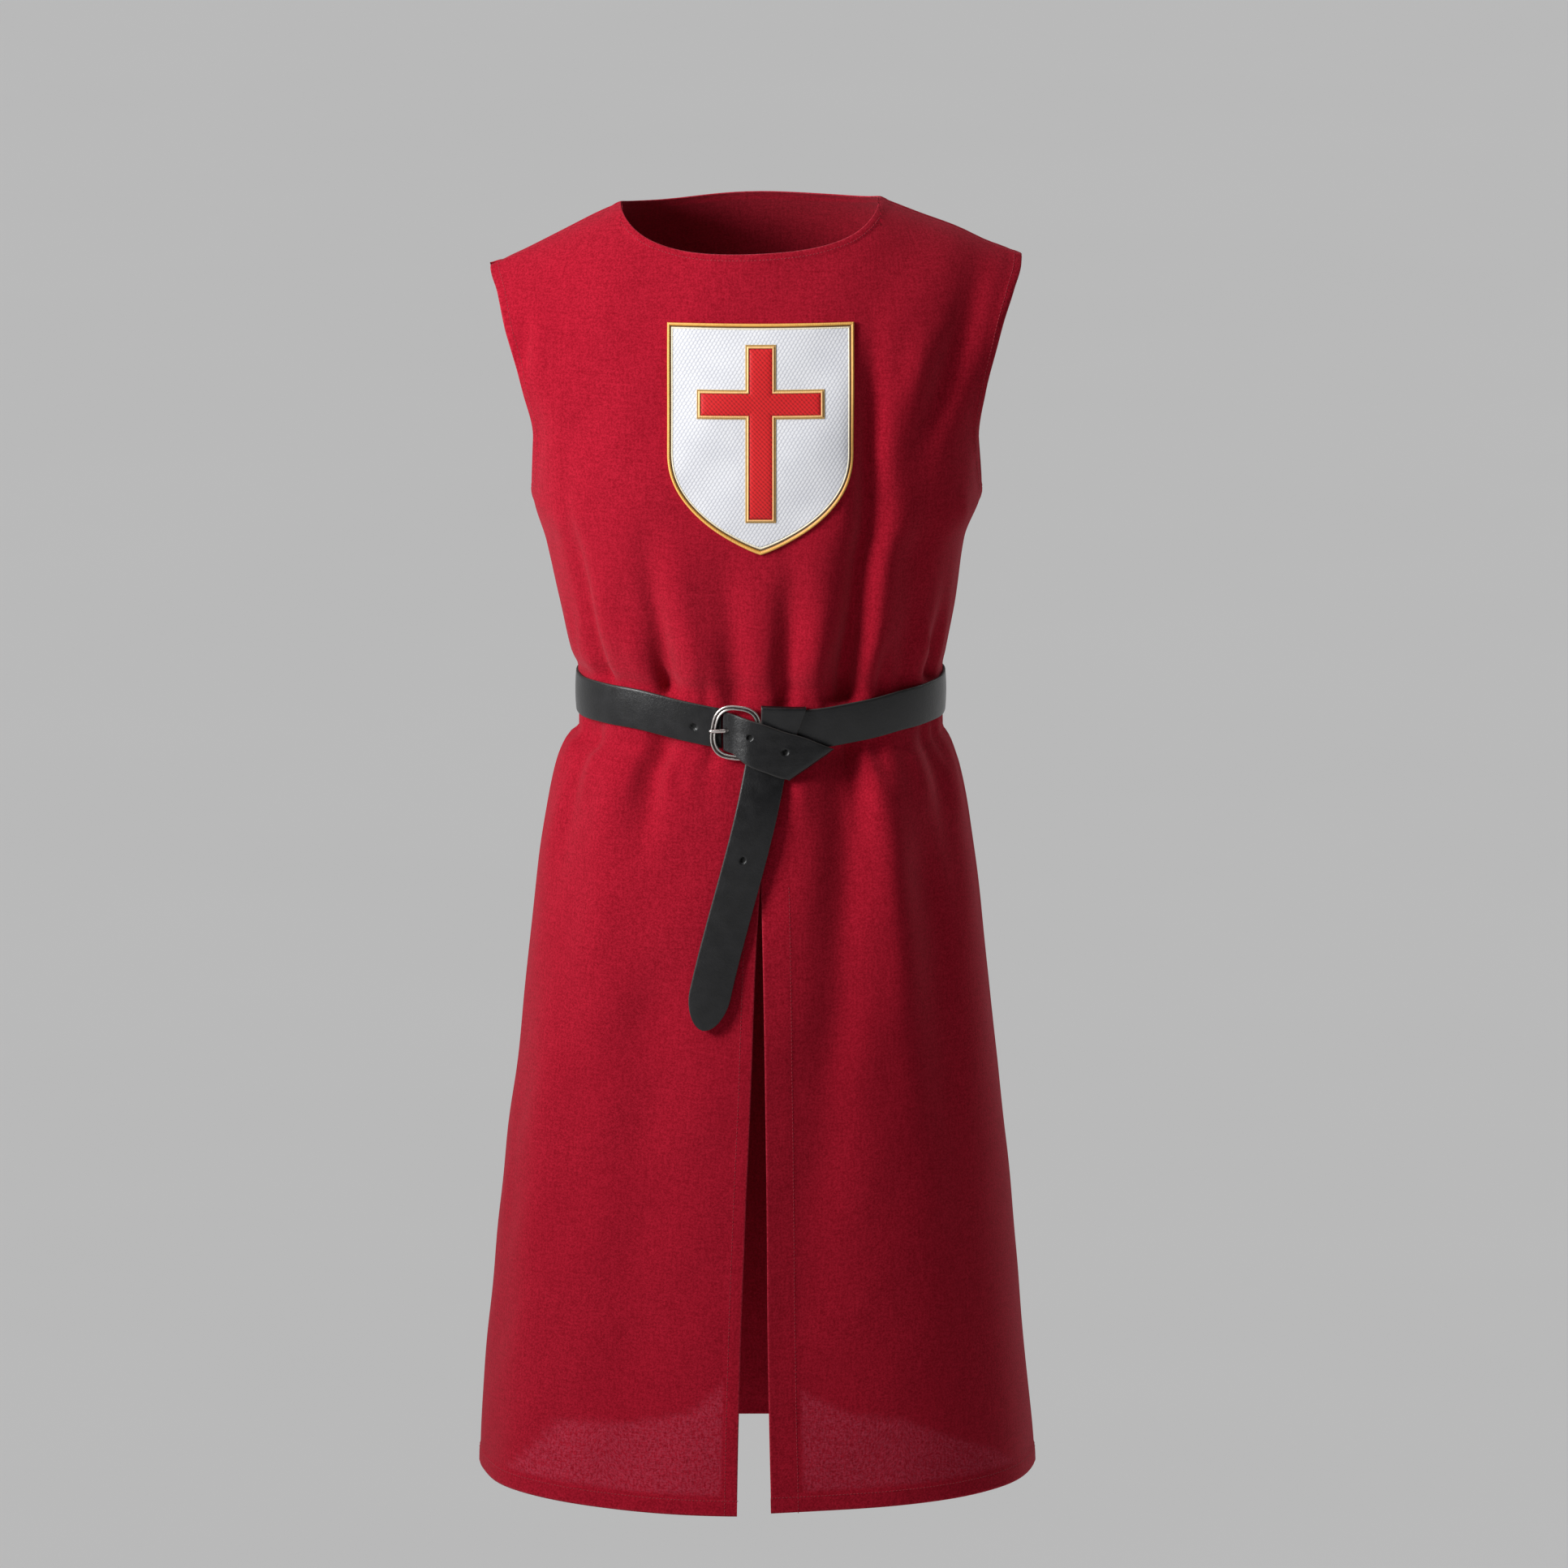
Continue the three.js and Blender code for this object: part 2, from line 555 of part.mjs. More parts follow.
/** Middle height of the belt, which dips in front. */
function beltLevel(panel, angle) {
  if (panel === BACK) return BELT.level;
  return BELT.level - BELT.frontDip * Math.abs(Math.cos(degrees(angle))) ** BELT.dipPower;
}

/** The strap round the waist, open in front between its two ends. */
function beltStrap() {
  const endAngle = (x) => {
    const reach = (x - sectionCentre(BELT.level)) / sectionHalf(BELT.level);
    return THREE.MathUtils.radToDeg(Math.asin(signedPower(reach, section.square(BELT.level) / 2)));
  };
  const leftEnd = endAngle(STRAP_ENDS.left);
  const rightEnd = endAngle(STRAP_ENDS.right);
  const stations = [
    { panel: FRONT, angle: leftEnd },
    ...frontPanel.angles.filter((a) => a < leftEnd - 1).reverse().map((angle) => ({ panel: FRONT, angle })),
    ...backPanel.angles.slice(1, -1).map((angle) => ({ panel: BACK, angle })),
    ...frontPanel.angles.filter((a) => a > rightEnd + 1).reverse().map((angle) => ({ panel: FRONT, angle })),
    { panel: FRONT, angle: rightEnd },
  ];
  const rows = 2;
  const samples = [];
  for (const { panel, angle } of stations) {
    const middle = beltLevel(panel, angle);
    const normal = smoothNormal(panel, angle, 1, BELT.level).setZ(0).normalize();
    for (let row = 0; row <= rows; row += 1) {
      const base = smoothPoint(panel, angle, 1, BELT.level);
      base.z = middle + BELT.width * (0.5 - row / rows);
      samples.push({ outer: moved(base, normal, STRAP_TOP), inner: moved(base, normal, LAY_GAP) });
    }
  }
  const number = (row, column) => column * (rows + 1) + row;
  return wallGeometry(samples, gridFaces(rows, stations.length - 1, number, true));
}

/** A stretch of strap over the front from stations that give its two edges and its lift. */
function strapPiece(stations, across, sideways) {
  const samples = [];
  for (const { x0, z0, x1, z1, lift } of stations) {
    for (let i = 0; i <= across; i += 1) {
      const x = mix(x0, x1, i / across);
      const z = mix(z0, z1, i / across);
      samples.push({ outer: overFront(x, z, lift), inner: overFront(x, z, lift - BELT.thick) });
    }
  }
  const number = (row, column) => row * (across + 1) + column;
  return wallGeometry(samples, gridFaces(stations.length - 1, across, number, sideways));
}

/** The hanging end: a centre line that leans over as it falls, with a pointed tip. */
function tailStations() {
  const stations = [];
  let x = TAIL.x;
  let z = TAIL.z;
  let before = 0;
  for (let i = 0; i <= TAIL_STEPS; i += 1) {
    const along = TAIL.length * (i < TAIL_STEPS - 3 ? i / (TAIL_STEPS - 3) * (1 - TAIL.point / TAIL.length)
      : 1 - (TAIL.point / TAIL.length) * (1 - (i - TAIL_STEPS + 3) / 3));
    const lean = degrees(TAIL.lean + TAIL.bend * Math.sin((Math.PI * along) / TAIL.length));
    x -= (along - before) * Math.sin(lean);
    z -= (along - before) * Math.cos(lean);
    before = along;
    const toTip = Math.max(1 - (TAIL.length - along) / TAIL.point, 0);
    const half = (BELT.width / 2) * Math.sqrt(Math.max(1 - toTip ** 1.7, 0.01));
    const lift = mix(5.6, TAIL.lift, smooth(Math.min(along / 60, 1)));
    stations.push({
      x0: x - half * Math.cos(lean),
      z0: z + half * Math.sin(lean),
      x1: x + half * Math.cos(lean),
      z1: z - half * Math.sin(lean),
      lift,
    });
  }
  return stations;
}

/** The buckle frame: a squared oval ring, tilted, whose bar has a flattened section. */
function buckleFrame() {
  const ring = [];
  for (let i = 0; i < BUCKLE_BAR.steps; i += 1) {
    const turn = (2 * Math.PI * i) / BUCKLE_BAR.steps;
    const power = 2 / BUCKLE.square;
    const u = signedPower(Math.cos(turn), power);
    const v = signedPower(Math.sin(turn), power);
    ring.push({ u, v });
  }
  const tilt = degrees(BUCKLE.tilt);
  const place = ({ u, v }, grow) => {
    const across = u * (BUCKLE.halfWidth + grow);
    const up = v * (BUCKLE.halfHeight + grow);
    const x = BUCKLE.x + across * Math.cos(tilt) - up * Math.sin(tilt);
    return [x, BUCKLE.z + across * Math.sin(tilt) + up * Math.cos(tilt)];
  };
  const half = BUCKLE_BAR.wide / 2;
  const samples = [];
  for (const grow of [half, -half]) {
    for (const spot of ring) {
      const [x, z] = place(spot, grow);
      const lift = BUCKLE_BAR.lift;
      samples.push({
        outer: overFront(x, z, lift + BUCKLE_BAR.thick / 2),
        inner: overFront(x, z, lift - BUCKLE_BAR.thick / 2),
      });
    }
  }
  const count = ring.length;
  const faces = ring.map((_, i) => {
    const next = (i + 1) % count;
    return [i, next, next + count, i + count];
  });
  return wallGeometry(samples, faces);
}

/** The prong: a short bar that crosses the frame and enters the strap. */
function buckleProng() {
  const samples = [];
  const steps = 4;
  for (let i = 0; i <= steps; i += 1) {
    const t = i / steps;
    const x = mix(PRONG.x0, PRONG.x1, t);
    const lift = mix(PRONG.lift0, PRONG.lift1, smooth(t));
    const half = (PRONG.wide / 2) * mix(0.7, 1, smooth(Math.min(2 * t, 1)));
    for (const z of [PRONG.z + half, PRONG.z - half]) {
      samples.push({ outer: overFront(x, z, lift), inner: overFront(x, z, lift - PRONG.thick) });
    }
  }
  return wallGeometry(samples, gridFaces(steps, 1, (row, column) => row * 2 + column, true));
}

// ---------------------------------------------------------------- assembly

const patchTop = PATCH.gap + PATCH.ground + LAY_GAP;
const pieces = [
  { name: 'front_panel', colour: 'red', geometry: wallGeometry(frontPanel.samples, frontPanel.faces) },
  { name: 'back_panel', colour: 'red', geometry: wallGeometry(backPanel.samples, backPanel.faces) },
  { name: 'shield_ground', colour: 'white', geometry: shieldGround() },
  {
    name: 'shield_border',
    colour: 'gold',
    geometry: bandGeometry(shieldLoop(0), shieldLoop(PATCH.border), PATCH.gap, PATCH.cord),
  },
  {
    name: 'cross_edge',
    colour: 'gold',
    geometry: bandGeometry(crossLoop(0), crossLoop(-CROSS_LAYER.cordWidth), patchTop, CROSS_LAYER.edge),
  },
  { name: 'cross_fill', colour: 'scarlet', geometry: crossFill(patchTop) },
  { name: 'belt_strap', colour: 'leather', geometry: beltStrap() },
  { name: 'belt_fold', colour: 'leather', geometry: strapPiece(FOLD_STATIONS, 3, true) },
  { name: 'belt_loop', colour: 'leather', geometry: strapPiece(LOOP_STATIONS, 3, false) },
  { name: 'belt_tail', colour: 'leather', geometry: strapPiece(tailStations(), 3, false) },
  { name: 'buckle_frame', colour: 'nickel', geometry: buckleFrame() },
  { name: 'buckle_prong', colour: 'nickel', geometry: buckleProng() },
];

const tabard = new THREE.Group();
tabard.name = 'knight_tabard';
for (const { name, colour, geometry } of pieces) {
  const mesh = new THREE.Mesh(geometry, new THREE.MeshStandardMaterial(COLOURS[colour]));
  mesh.name = name;
  tabard.add(mesh);
}

export default tabard;
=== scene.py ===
"""A knight's tabard in Blender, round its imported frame.

Two cloth panels with turned hems and stitching, an embroidered shield patch, and a leather
belt that is knotted over its buckle. The tables are in millimetres, as the frame's source is;
meshes are in metres. +Z is up and the front faces -Y.
"""

import bpy
import numpy as np
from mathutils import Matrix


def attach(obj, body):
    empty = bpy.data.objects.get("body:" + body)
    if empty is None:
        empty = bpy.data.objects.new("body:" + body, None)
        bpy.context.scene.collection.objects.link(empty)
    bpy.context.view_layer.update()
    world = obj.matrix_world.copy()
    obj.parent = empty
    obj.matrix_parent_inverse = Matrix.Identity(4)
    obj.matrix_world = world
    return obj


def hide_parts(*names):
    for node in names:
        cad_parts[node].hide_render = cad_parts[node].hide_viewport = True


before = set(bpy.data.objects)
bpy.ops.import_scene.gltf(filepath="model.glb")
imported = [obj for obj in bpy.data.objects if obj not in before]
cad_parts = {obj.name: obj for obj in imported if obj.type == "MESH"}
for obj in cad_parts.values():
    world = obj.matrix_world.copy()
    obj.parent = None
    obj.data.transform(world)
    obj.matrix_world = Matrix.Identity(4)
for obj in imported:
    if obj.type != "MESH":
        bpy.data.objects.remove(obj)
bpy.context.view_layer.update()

MM = 0.001

# ---- the worn form, as in the frame

SHOULDER = {"crest": 63.8, "slope": 0.45, "round": 80}
UNDERARM = -265
APEX = -601
HEM = -1176
NECK = {"left": -122, "right": 111, "curve": 1.9, "fullness": 0.72}
ARMHOLE = {"reach": 0.5, "roundness": 0.45}
SHOULDER_SECTION = -54

# Height, half widths left and right, depths in front and behind, squareness of the section.
SECTIONS = np.array([
    [30, 243, 239, 116, 106, 2.2], [-54, 243, 239, 118, 110, 2.2],
    [-80, 236, 232, 120, 112, 2.3], [-107, 228.5, 223.5, 122, 114, 2.3],
    [-136, 220.5, 216, 124, 115, 2.3], [-171, 211, 207, 125, 115, 2.35],
    [-213, 201, 200.5, 126, 114, 2.4], [-265, 202, 203, 125, 112, 2.4],
    [-311, 189, 187.5, 123, 109, 2.4], [-371, 176, 179, 119, 105, 2.3],
    [-415, 166, 171, 114, 101, 2.2], [-430, 160, 168, 111, 99, 2.2],
    [-487, 160, 168, 111, 99, 2.2], [-500, 172, 174, 116, 103, 2.2],
    [-523, 181, 183, 122, 109, 2.2], [-568, 190, 191.5, 128, 117, 2.2],
    [-659, 202, 203.5, 135, 126, 2.25], [-780, 214, 216, 142, 136, 2.25],
    [-902, 228, 228.5, 149, 144, 2.3], [-1023, 240, 239, 156, 151, 2.3],
    [-1144, 250.5, 250.5, 162, 157, 2.3], [-1190, 252, 253, 164, 159, 2.3],
])

BELT = {"width": 37, "thick": 2.6, "level": -453, "dip": 13, "power": 5, "rise": 5.5,
        "rise_at": -38, "rise_spread": 26, "lift": 0.35, "crown": 0.9}

# A fold that starts at UPPER or LOWER starts at that edge of the belt, a little way under it.
UPPER, LOWER = -430, -487
FOLD = {"ridge_under": 0.5, "trough_under": 8, "ridge_rise": 55, "trough_rise": 13,
        "free_rise": 110}

# Main folds: angle at the belt, angle at the far end, start level, end level, spread, depth.
FRONT_FOLDS = [
    (-57.5, -54, UPPER, -150, 3.6, -6.2), (-46, -50, UPPER, -200, 8, 3.6),
    (-28.5, -26, UPPER, -250, 4, -7.5), (-17.5, -18, UPPER, -215, 5, 4.5),
    (-7, -4.5, UPPER, -250, 3.6, -4.2), (1, 1, UPPER, -260, 4, 3),
    (6.8, 6.5, UPPER, -250, 3, -5), (16, 13, UPPER, -235, 4.6, 4.5),
    (25.6, 27.6, UPPER, -60, 4.5, -11.5), (33.5, 37.5, UPPER, -190, 5, 3.3),
    (50, 44, UPPER, -120, 7, -4), (70, 66, UPPER, -300, 5, -6), (-66, -64, LOWER, -700, 6, -5),
    (-45, -42, LOWER, -900, 8, 4), (-31, -30, LOWER, -620, 5, -7), (26, 1, LOWER, -1180, 7, -7),
    (37, 37, LOWER, -900, 6, 4.4), (52, 49, -520, -1180, 9, -6), (66, 64, LOWER, -720, 6, -5),
    (-24, -26, -640, -1400, 10, -5), (-58, -56, -700, -1400, 10, 5),
]
BACK_FOLDS = [
    (-68, -64, UPPER, -300, 6, -5), (-38, -34, UPPER, -220, 7, -6),
    (-22, -22, UPPER, -300, 6, 4), (-6, -9, UPPER, -270, 6.5, -6), (12, 12, UPPER, -310, 6, 5),
    (31, 36, UPPER, -190, 7, -6), (67, 64, UPPER, -300, 6, -5), (-62, -58, LOWER, -800, 8, -6),
    (-36, -30, LOWER, -1400, 8, 7), (-14, -16, LOWER, -1100, 8, -7), (9, 8, LOWER, -1400, 9, 6),
    (34, 30, LOWER, -1400, 8, -8), (58, 56, -520, -1400, 9, 6),
]

# Small gathers that the belt pulls into the cloth, in the same six columns.
FRONT_GATHERS = [
    (-30.5, -31, UPPER, -368, 1.7, -4), (-69, -69, UPPER, -372, 3.4, 3.2),
    (-54, -55, UPPER, -384, 2.6, -1.6), (-38, -38, UPPER, -352, 2.8, 3.6),
    (-15.5, -15, UPPER, -380, 2, -1.8), (-6.5, -6, UPPER, -384, 1.8, 1.8),
    (19.5, 20, UPPER, -372, 2.2, -2), (28.4, 29, UPPER, -350, 1.8, -5),
    (40, 39, UPPER, -362, 2.6, -3.6), (46, 46, UPPER, -386, 2.4, 2.6),
    (58, 57, UPPER, -366, 3, 3), (76, 74, UPPER, -350, 3.2, 2.6),
    (-77, -76, UPPER, -340, 3, 2.6), (-74, -73, LOWER, -560, 3, -3),
    (-57, -56, LOWER, -572, 3, 3), (-38, -37.5, LOWER, -552, 2.5, 3.2),
    (-25, -25, LOWER, -566, 2.4, 3), (-13, -13, LOWER, -552, 2.6, -2.8),
    (11, 10.5, LOWER, -570, 2.6, 2.8), (28.5, 28.5, LOWER, -590, 2.6, -4.6),
    (38, 38, LOWER, -575, 3, -3.6), (55, 55, LOWER, -556, 3, 3), (75, 75, LOWER, -560, 3, -3),
]
BACK_GATHERS = [
    (-58, -57, UPPER, -366, 3, 3.2), (-48, -48, UPPER, -378, 2.6, -3),
    (-30, -29, UPPER, -352, 2.7, 3.4), (-14, -14.5, UPPER, -370, 2.6, -3.2),
    (3, 3, UPPER, -350, 2.8, 3.2), (21, 22, UPPER, -372, 2.6, -3),
    (44, 45, UPPER, -360, 2.8, 3.2), (56, 56, UPPER, -380, 2.7, -2.8),
    (-76, -75, UPPER, -350, 3, 2.6), (75, 75, UPPER, -350, 3, 2.6),
    (-50, -49, LOWER, -570, 2.8, 3), (-25, -25, LOWER, -556, 2.6, -3),
    (-3, -2, LOWER, -580, 2.7, 3), (21, 21, LOWER, -560, 2.6, -3), (46, 46, LOWER, -576, 3, 3.2),
    (74, 74, LOWER, -560, 3, -3), (-75, -75, LOWER, -560, 3, -3),
]

# Creases across the front and the back: x and z of both ends, spread and depth.
FRONT_CREASES = [
    (-206, -84, -211, -150, 7, -4.6), (-196, -92, -199, -150, 6, 1.6),
    (206, -44, 148, -222, 12, -8.5), (156, -92, 136, -170, 11, 3.4),
    (105, -90, 97, -340, 11, -7.5), (-160, -340, -156, -428, 2.6, 2.2),
    (-147, -386, -151, -428, 2.2, 1.6), (187, -250, 187, -290, 3, 1.8),
    (150, -362, 160, -430, 3, 2.4), (-161, -478, -183, -577, 3.2, 2.2),
    (-214, -780, -236, -1016, 3.4, 1.6), (168, -478, 191, -577, 3.2, 2.2),
    (224, -760, 230, -850, 3.4, 1.4),
]
BACK_CREASES = [
    (-190, -70, -150, -170, 12, -3), (188, -66, 152, -176, 12, -3.2),
    (-120, -96, -60, -150, 14, -1.6), (118, -92, 66, -150, 14, -1.5),
    (-161, -478, -182, -580, 3.2, 2), (168, -478, 190, -590, 3.2, 2),
    (-214, -780, -236, -1016, 3.4, 1.6), (222, -740, 234, -980, 3.4, 1.5),
]

SLIT = {"angle": 0.6, "left": 3.35, "right": 1.25, "fade": 42, "growth": 0.7}
# The slit's right edge stands proud, more as it falls and less further to the right.
PROUD = {"most": 12, "fall": 160, "beside": 3, "reach": 50}
HEM_DROP = {"left": 9, "right": 4}
CLOTH_THICK = 1.2
SUNK_SHOULDER = {"deep": 8, "beside": 100, "across": 130, "under": 115, "down": 60}
WAVES = {"count": 12, "height": 0.22, "shortest": 55, "longest": 170, "arc": 2.6, "lean": 0.8}
# Near the side seams, past an angle, and near the shoulder seam both panels' reliefs are one.
JOINED = {"angle": 82, "turn": 8, "under": 20}

# A seam pulls the cloth in at the join and lifts it beside the join: height, place, width.
SEAM_PULL = [(-0.9, 0, 2), (0.45, 5, 3)]
WORN_WIDTH = 1.3

# Hems: width, rise, and the distance of their stitching from the edge.
HEMS = {"neck": (7.5, 0.9, 6.0), "armhole": (9.5, 0.9, 7.6), "hem": (16, 0.9, 14.2),
        "left slit": (13, 0.45, 11.4), "right slit": (27, 0.45, 25.2)}


def mix(a, b, t):
    """The value t of the way from a to b."""
    return a + (b - a) * t


def ease(t):
    """Nought to one with level ends: 3t^2 - 2t^3, held at both ends."""
    t = np.clip(t, 0, 1)
    return t * t * (3 - 2 * t)


def bell(distance, spread):
    """One at nought, and exp(-(distance/spread)^2) on both sides of it."""
    return np.exp(-(distance / spread) ** 2)


def signed_power(value, power):
    """The power of a number's size, with the number's own sign."""
    return np.sign(value) * np.abs(value) ** power


def cubic(values, slopes, i, t, step=1):
    """The cubic from row i to the next at a share t of the step between them: it meets both
    rows' values and slopes."""
    return ((1 + 2 * t) * (1 - t) ** 2 * values[i] + t * (1 - t) ** 2 * step * slopes[i]
            + t * t * (3 - 2 * t) * values[i + 1] + t * t * (t - 1) * step * slopes[i + 1])


def section(column):
    """Curve of one column of the sections over height: a cubic between each two rows, whose
    slope at a row is the harmonic mean of the slopes on its two sides, so it never overshoots."""
    heights, values = -SECTIONS[:, 0], SECTIONS[:, column]
    slopes = np.diff(values) / np.diff(heights)
    before, after = np.r_[slopes[0], slopes], np.r_[slopes, slopes[-1]]
    level = before * after <= 0
    tangents = np.where(level, 0, 2 * before * after / np.where(level, 1, before + after))

    def at(z):
        height = np.clip(-np.asarray(z, float), heights[0], heights[-1])
        i = np.clip(np.searchsorted(heights, height) - 1, 0, len(heights) - 2)
        step = heights[i + 1] - heights[i]
        return cubic(values, tangents, i, (height - heights[i]) / step, step)

    return at


half_left, half_right, depth_front, depth_back, squareness = (section(c) for c in range(1, 6))

FRONT = {"facing": -1, "depth": depth_front, "neck_drop": 61.4,
         "gain": 1.5, "folds": FRONT_FOLDS + FRONT_GATHERS, "creases": FRONT_CREASES, "waves": 11}
BACK = {"facing": 1, "depth": depth_back, "neck_drop": 30,
        "gain": 1.9, "folds": BACK_FOLDS + BACK_GATHERS, "creases": BACK_CREASES, "waves": 12}


def centre(z):
    return (half_right(z) - half_left(z)) / 2


def half(z):
    return (half_right(z) + half_left(z)) / 2


def angle_at(x, level):
    """Angle of the form's column that passes x at a level."""
    reach = (x - centre(level)) / half(level)
    return float(np.degrees(np.arcsin(signed_power(reach, squareness(level) / 2))))


NECK_LEFT, NECK_RIGHT = (angle_at(NECK[end], SHOULDER_SECTION) for end in ("left", "right"))


def shoulder_height(x):
    """Height of the shoulder ridge: crest - slope * sqrt(x^2 + round^2)."""
    return SHOULDER["crest"] - SHOULDER["slope"] * np.hypot(x, SHOULDER["round"])


def neckline_drop(x, drop):
    """Drop of the neckline under the ridge: drop * (1 - reach^curve)^fullness, 0 outside it."""
    middle = (NECK["left"] + NECK["right"]) / 2
    reach = np.minimum(np.abs(x - middle) / ((NECK["right"] - NECK["left"]) / 2), 1)
    return drop * (1 - reach ** NECK["curve"]) ** NECK["fullness"]


def height_and_edge(x, fall):
    """Level at x, and the level whose section is used, when the cloth has fallen by a share
    of the way from the shoulder ridge to the underarm."""
    edge = mix(shoulder_height(half(SHOULDER_SECTION)), UNDERARM, fall)
    return mix(shoulder_height(x), UNDERARM, fall), edge


def form_y(panel, reach, power, turn, z):
    """Depth of the form: facing * depth(z) * sin(turn) * bulge, where the bulge is a
    superellipse cut short at the armhole by its open share, reach * |sin(2 turn)|^roundness."""
    opened = ARMHOLE["reach"] * np.abs(np.sin(2 * turn)) ** ARMHOLE["roundness"]
    opened = np.where(np.isclose(turn, np.pi / 2), 0, opened)
    bulge = np.maximum(1 - np.abs(reach) ** power * (1 - opened ** power), 0) ** (1 / power)
    return panel["facing"] * panel["depth"](z) * np.sin(turn) * bulge


def form_turn(panel, angle, down):
    """Quarter turn from the shoulder ridge down the chest: from the neckline's own turn, or 0
    beside the neck, to 90 degrees at the underarm."""
    top_x = centre(SHOULDER_SECTION) + half(SHOULDER_SECTION) * signed_power(
        np.sin(np.radians(angle)), 2 / squareness(SHOULDER_SECTION))
    start = np.arccos(1 - neckline_drop(top_x, panel["neck_drop"])
                      / (shoulder_height(top_x) - UNDERARM))
    return np.where(down >= 1, np.pi / 2, mix(start, np.pi / 2, down))


def form_at_turn(panel, angle, turn, lower, z):
    """Point of the smooth form at a turn above the underarm, or at level z where it is lower."""
    theta = np.radians(angle)
    fall = 1 - np.cos(turn)
    edge = np.where(lower, z, height_and_edge(0, fall)[1])
    power = squareness(edge)
    reach = signed_power(np.sin(theta), 2 / power)
    x = centre(edge) + half(edge) * reach
    level = np.where(lower, z, height_and_edge(x, fall)[0])
    return np.stack([x, form_y(panel, reach, power, turn, level), level], -1)


def unit(vectors):
    """Vectors of length one."""
    return vectors / np.maximum(np.linalg.norm(vectors, axis=-1, keepdims=True), 1e-12)


def moved(points, normals, out):
    """Points moved out along their normals."""
    return points + normals * out[..., None]


def form(panel, angle, down, z):
    """Points of the smooth form, and their outward normals from two small steps on it. The
    angle runs from -90 to 90 between the side seams. Down runs from 0 at the shoulder seam or
    neckline to 1 at the underarm, and then z is the level."""
    turn, lower = form_turn(panel, angle, down), down >= 1
    across = (form_at_turn(panel, np.minimum(angle + 0.05, 90), turn, lower, z)
              - form_at_turn(panel, np.maximum(angle - 0.05, -90), turn, lower, z))
    step = np.where(lower, 0, 0.004)
    along = (form_at_turn(panel, angle, turn + step, lower, z - 1)
             - form_at_turn(panel, angle, turn - step, lower, z + 1))
    return (form_at_turn(panel, angle, turn, lower, z),
            unit(np.cross(along, across) * -panel["facing"]))


def over_form(panel, x, z):
    """The form straight behind x and z: its point, outward normal and angle. The level gives
    the fall, the fall gives the section, and the section gives the depth."""
    x, z = np.broadcast_arrays(np.asarray(x, float), np.asarray(z, float))

    def surface(x, z):
        fall = np.clip((shoulder_height(x) - z) / (shoulder_height(x) - UNDERARM), 0, 1)
        edge = np.where(z < UNDERARM, z, height_and_edge(x, fall)[1])
        power = squareness(edge)
        reach = np.clip((x - centre(edge)) / half(edge), -1, 1)
        turn = np.where(z < UNDERARM, np.pi / 2, np.arccos(1 - fall))
        return form_y(panel, reach, power, turn, z), np.degrees(
            np.arcsin(signed_power(reach, power / 2)))

    y, angle = surface(x, z)
    slope_x = (surface(x + 0.5, z)[0] - surface(x - 0.5, z)[0])
    slope_z = (surface(x, z + 0.5)[0] - surface(x, z - 0.5)[0])
    normal = unit(np.stack([-slope_x, np.ones_like(x), -slope_z], -1) * panel["facing"])
    return np.stack([x, y, z], -1), normal, angle


def belt_dip(panel, angle):
    """How far the belt hangs below its level: dip * |cos|^power in front, less a bell-shaped
    rise on the left, and nothing behind."""
    if panel is BACK:
        return 0 * angle
    sag = BELT["dip"] * np.abs(np.cos(np.radians(angle))) ** BELT["power"]
    return sag - BELT["rise"] * bell(angle - BELT["rise_at"], BELT["rise_spread"])


def fold_depth(panel, angle, z):
    """Sum of soft folds: depth * rise * (1 + cos(pi * along)) / 2 * bell(offset, spread). A
    ridge rises from the belt's edge, and a trough from further under it."""
    total = np.zeros(np.broadcast(angle, z).shape)
    middle = BELT["level"] - belt_dip(panel, angle)
    for at, to, begin, until, spread, depth in panel["folds"]:
        kind = "ridge" if depth > 0 else "trough"
        start, rise = begin + 0 * angle, FOLD["free_rise"]
        if begin in (UPPER, LOWER):
            to_edge = BELT["width"] / 2 - FOLD[kind + "_under"]
            start, rise = middle + (to_edge if begin == UPPER else -to_edge), FOLD[kind + "_rise"]
        along = (z - start) / (until - start)
        inside = (along > 0) & (along < 1)
        along = np.clip(along, 0, 1)
        strength = ease(np.abs(z - start) / rise) * (0.5 + 0.5 * np.cos(np.pi * along))
        beside = bell(angle - mix(at, to, along), spread)
        total += np.where(inside, depth * strength * beside, 0)
    return panel["gain"] * total


def crease_depth(creases, x, z):
    """Sum of straight creases: depth * swell * bell(distance, spread). The swell is
    sin^2(pi * (0.1 + 0.8 along)), which ends an eighth of the length past either end."""
    total = np.zeros(np.broadcast(x, z).shape)
    for x0, z0, x1, z1, spread, depth in creases:
        length = np.hypot(x1 - x0, z1 - z0)
        ux, uz = (x1 - x0) / length, (z1 - z0) / length
        along = ((x - x0) * ux + (z - z0) * uz) / length
        beside = (x - x0) * uz - (z - z0) * ux
        swell = np.sin(np.pi * np.clip(along * 0.8 + 0.1, 0, 1)) ** 2
        total += depth * swell * bell(beside, spread)
    return total


def uneven_depth(seed, angle, z):
    """The cloth's slight unevenness: long, low waves in seeded directions."""
    rng = np.random.default_rng(seed)
    total = np.zeros(np.broadcast(angle, z).shape)
    for _ in range(WAVES["count"]):
        wave = rng.uniform(WAVES["shortest"], WAVES["longest"])
        heading, phase = rng.uniform(-1, 1), rng.uniform(0, 6.28)
        along = angle * WAVES["arc"] + z * heading * WAVES["lean"]
        total += WAVES["height"] * np.sin(6.28 * along / wave + phase)
    return total


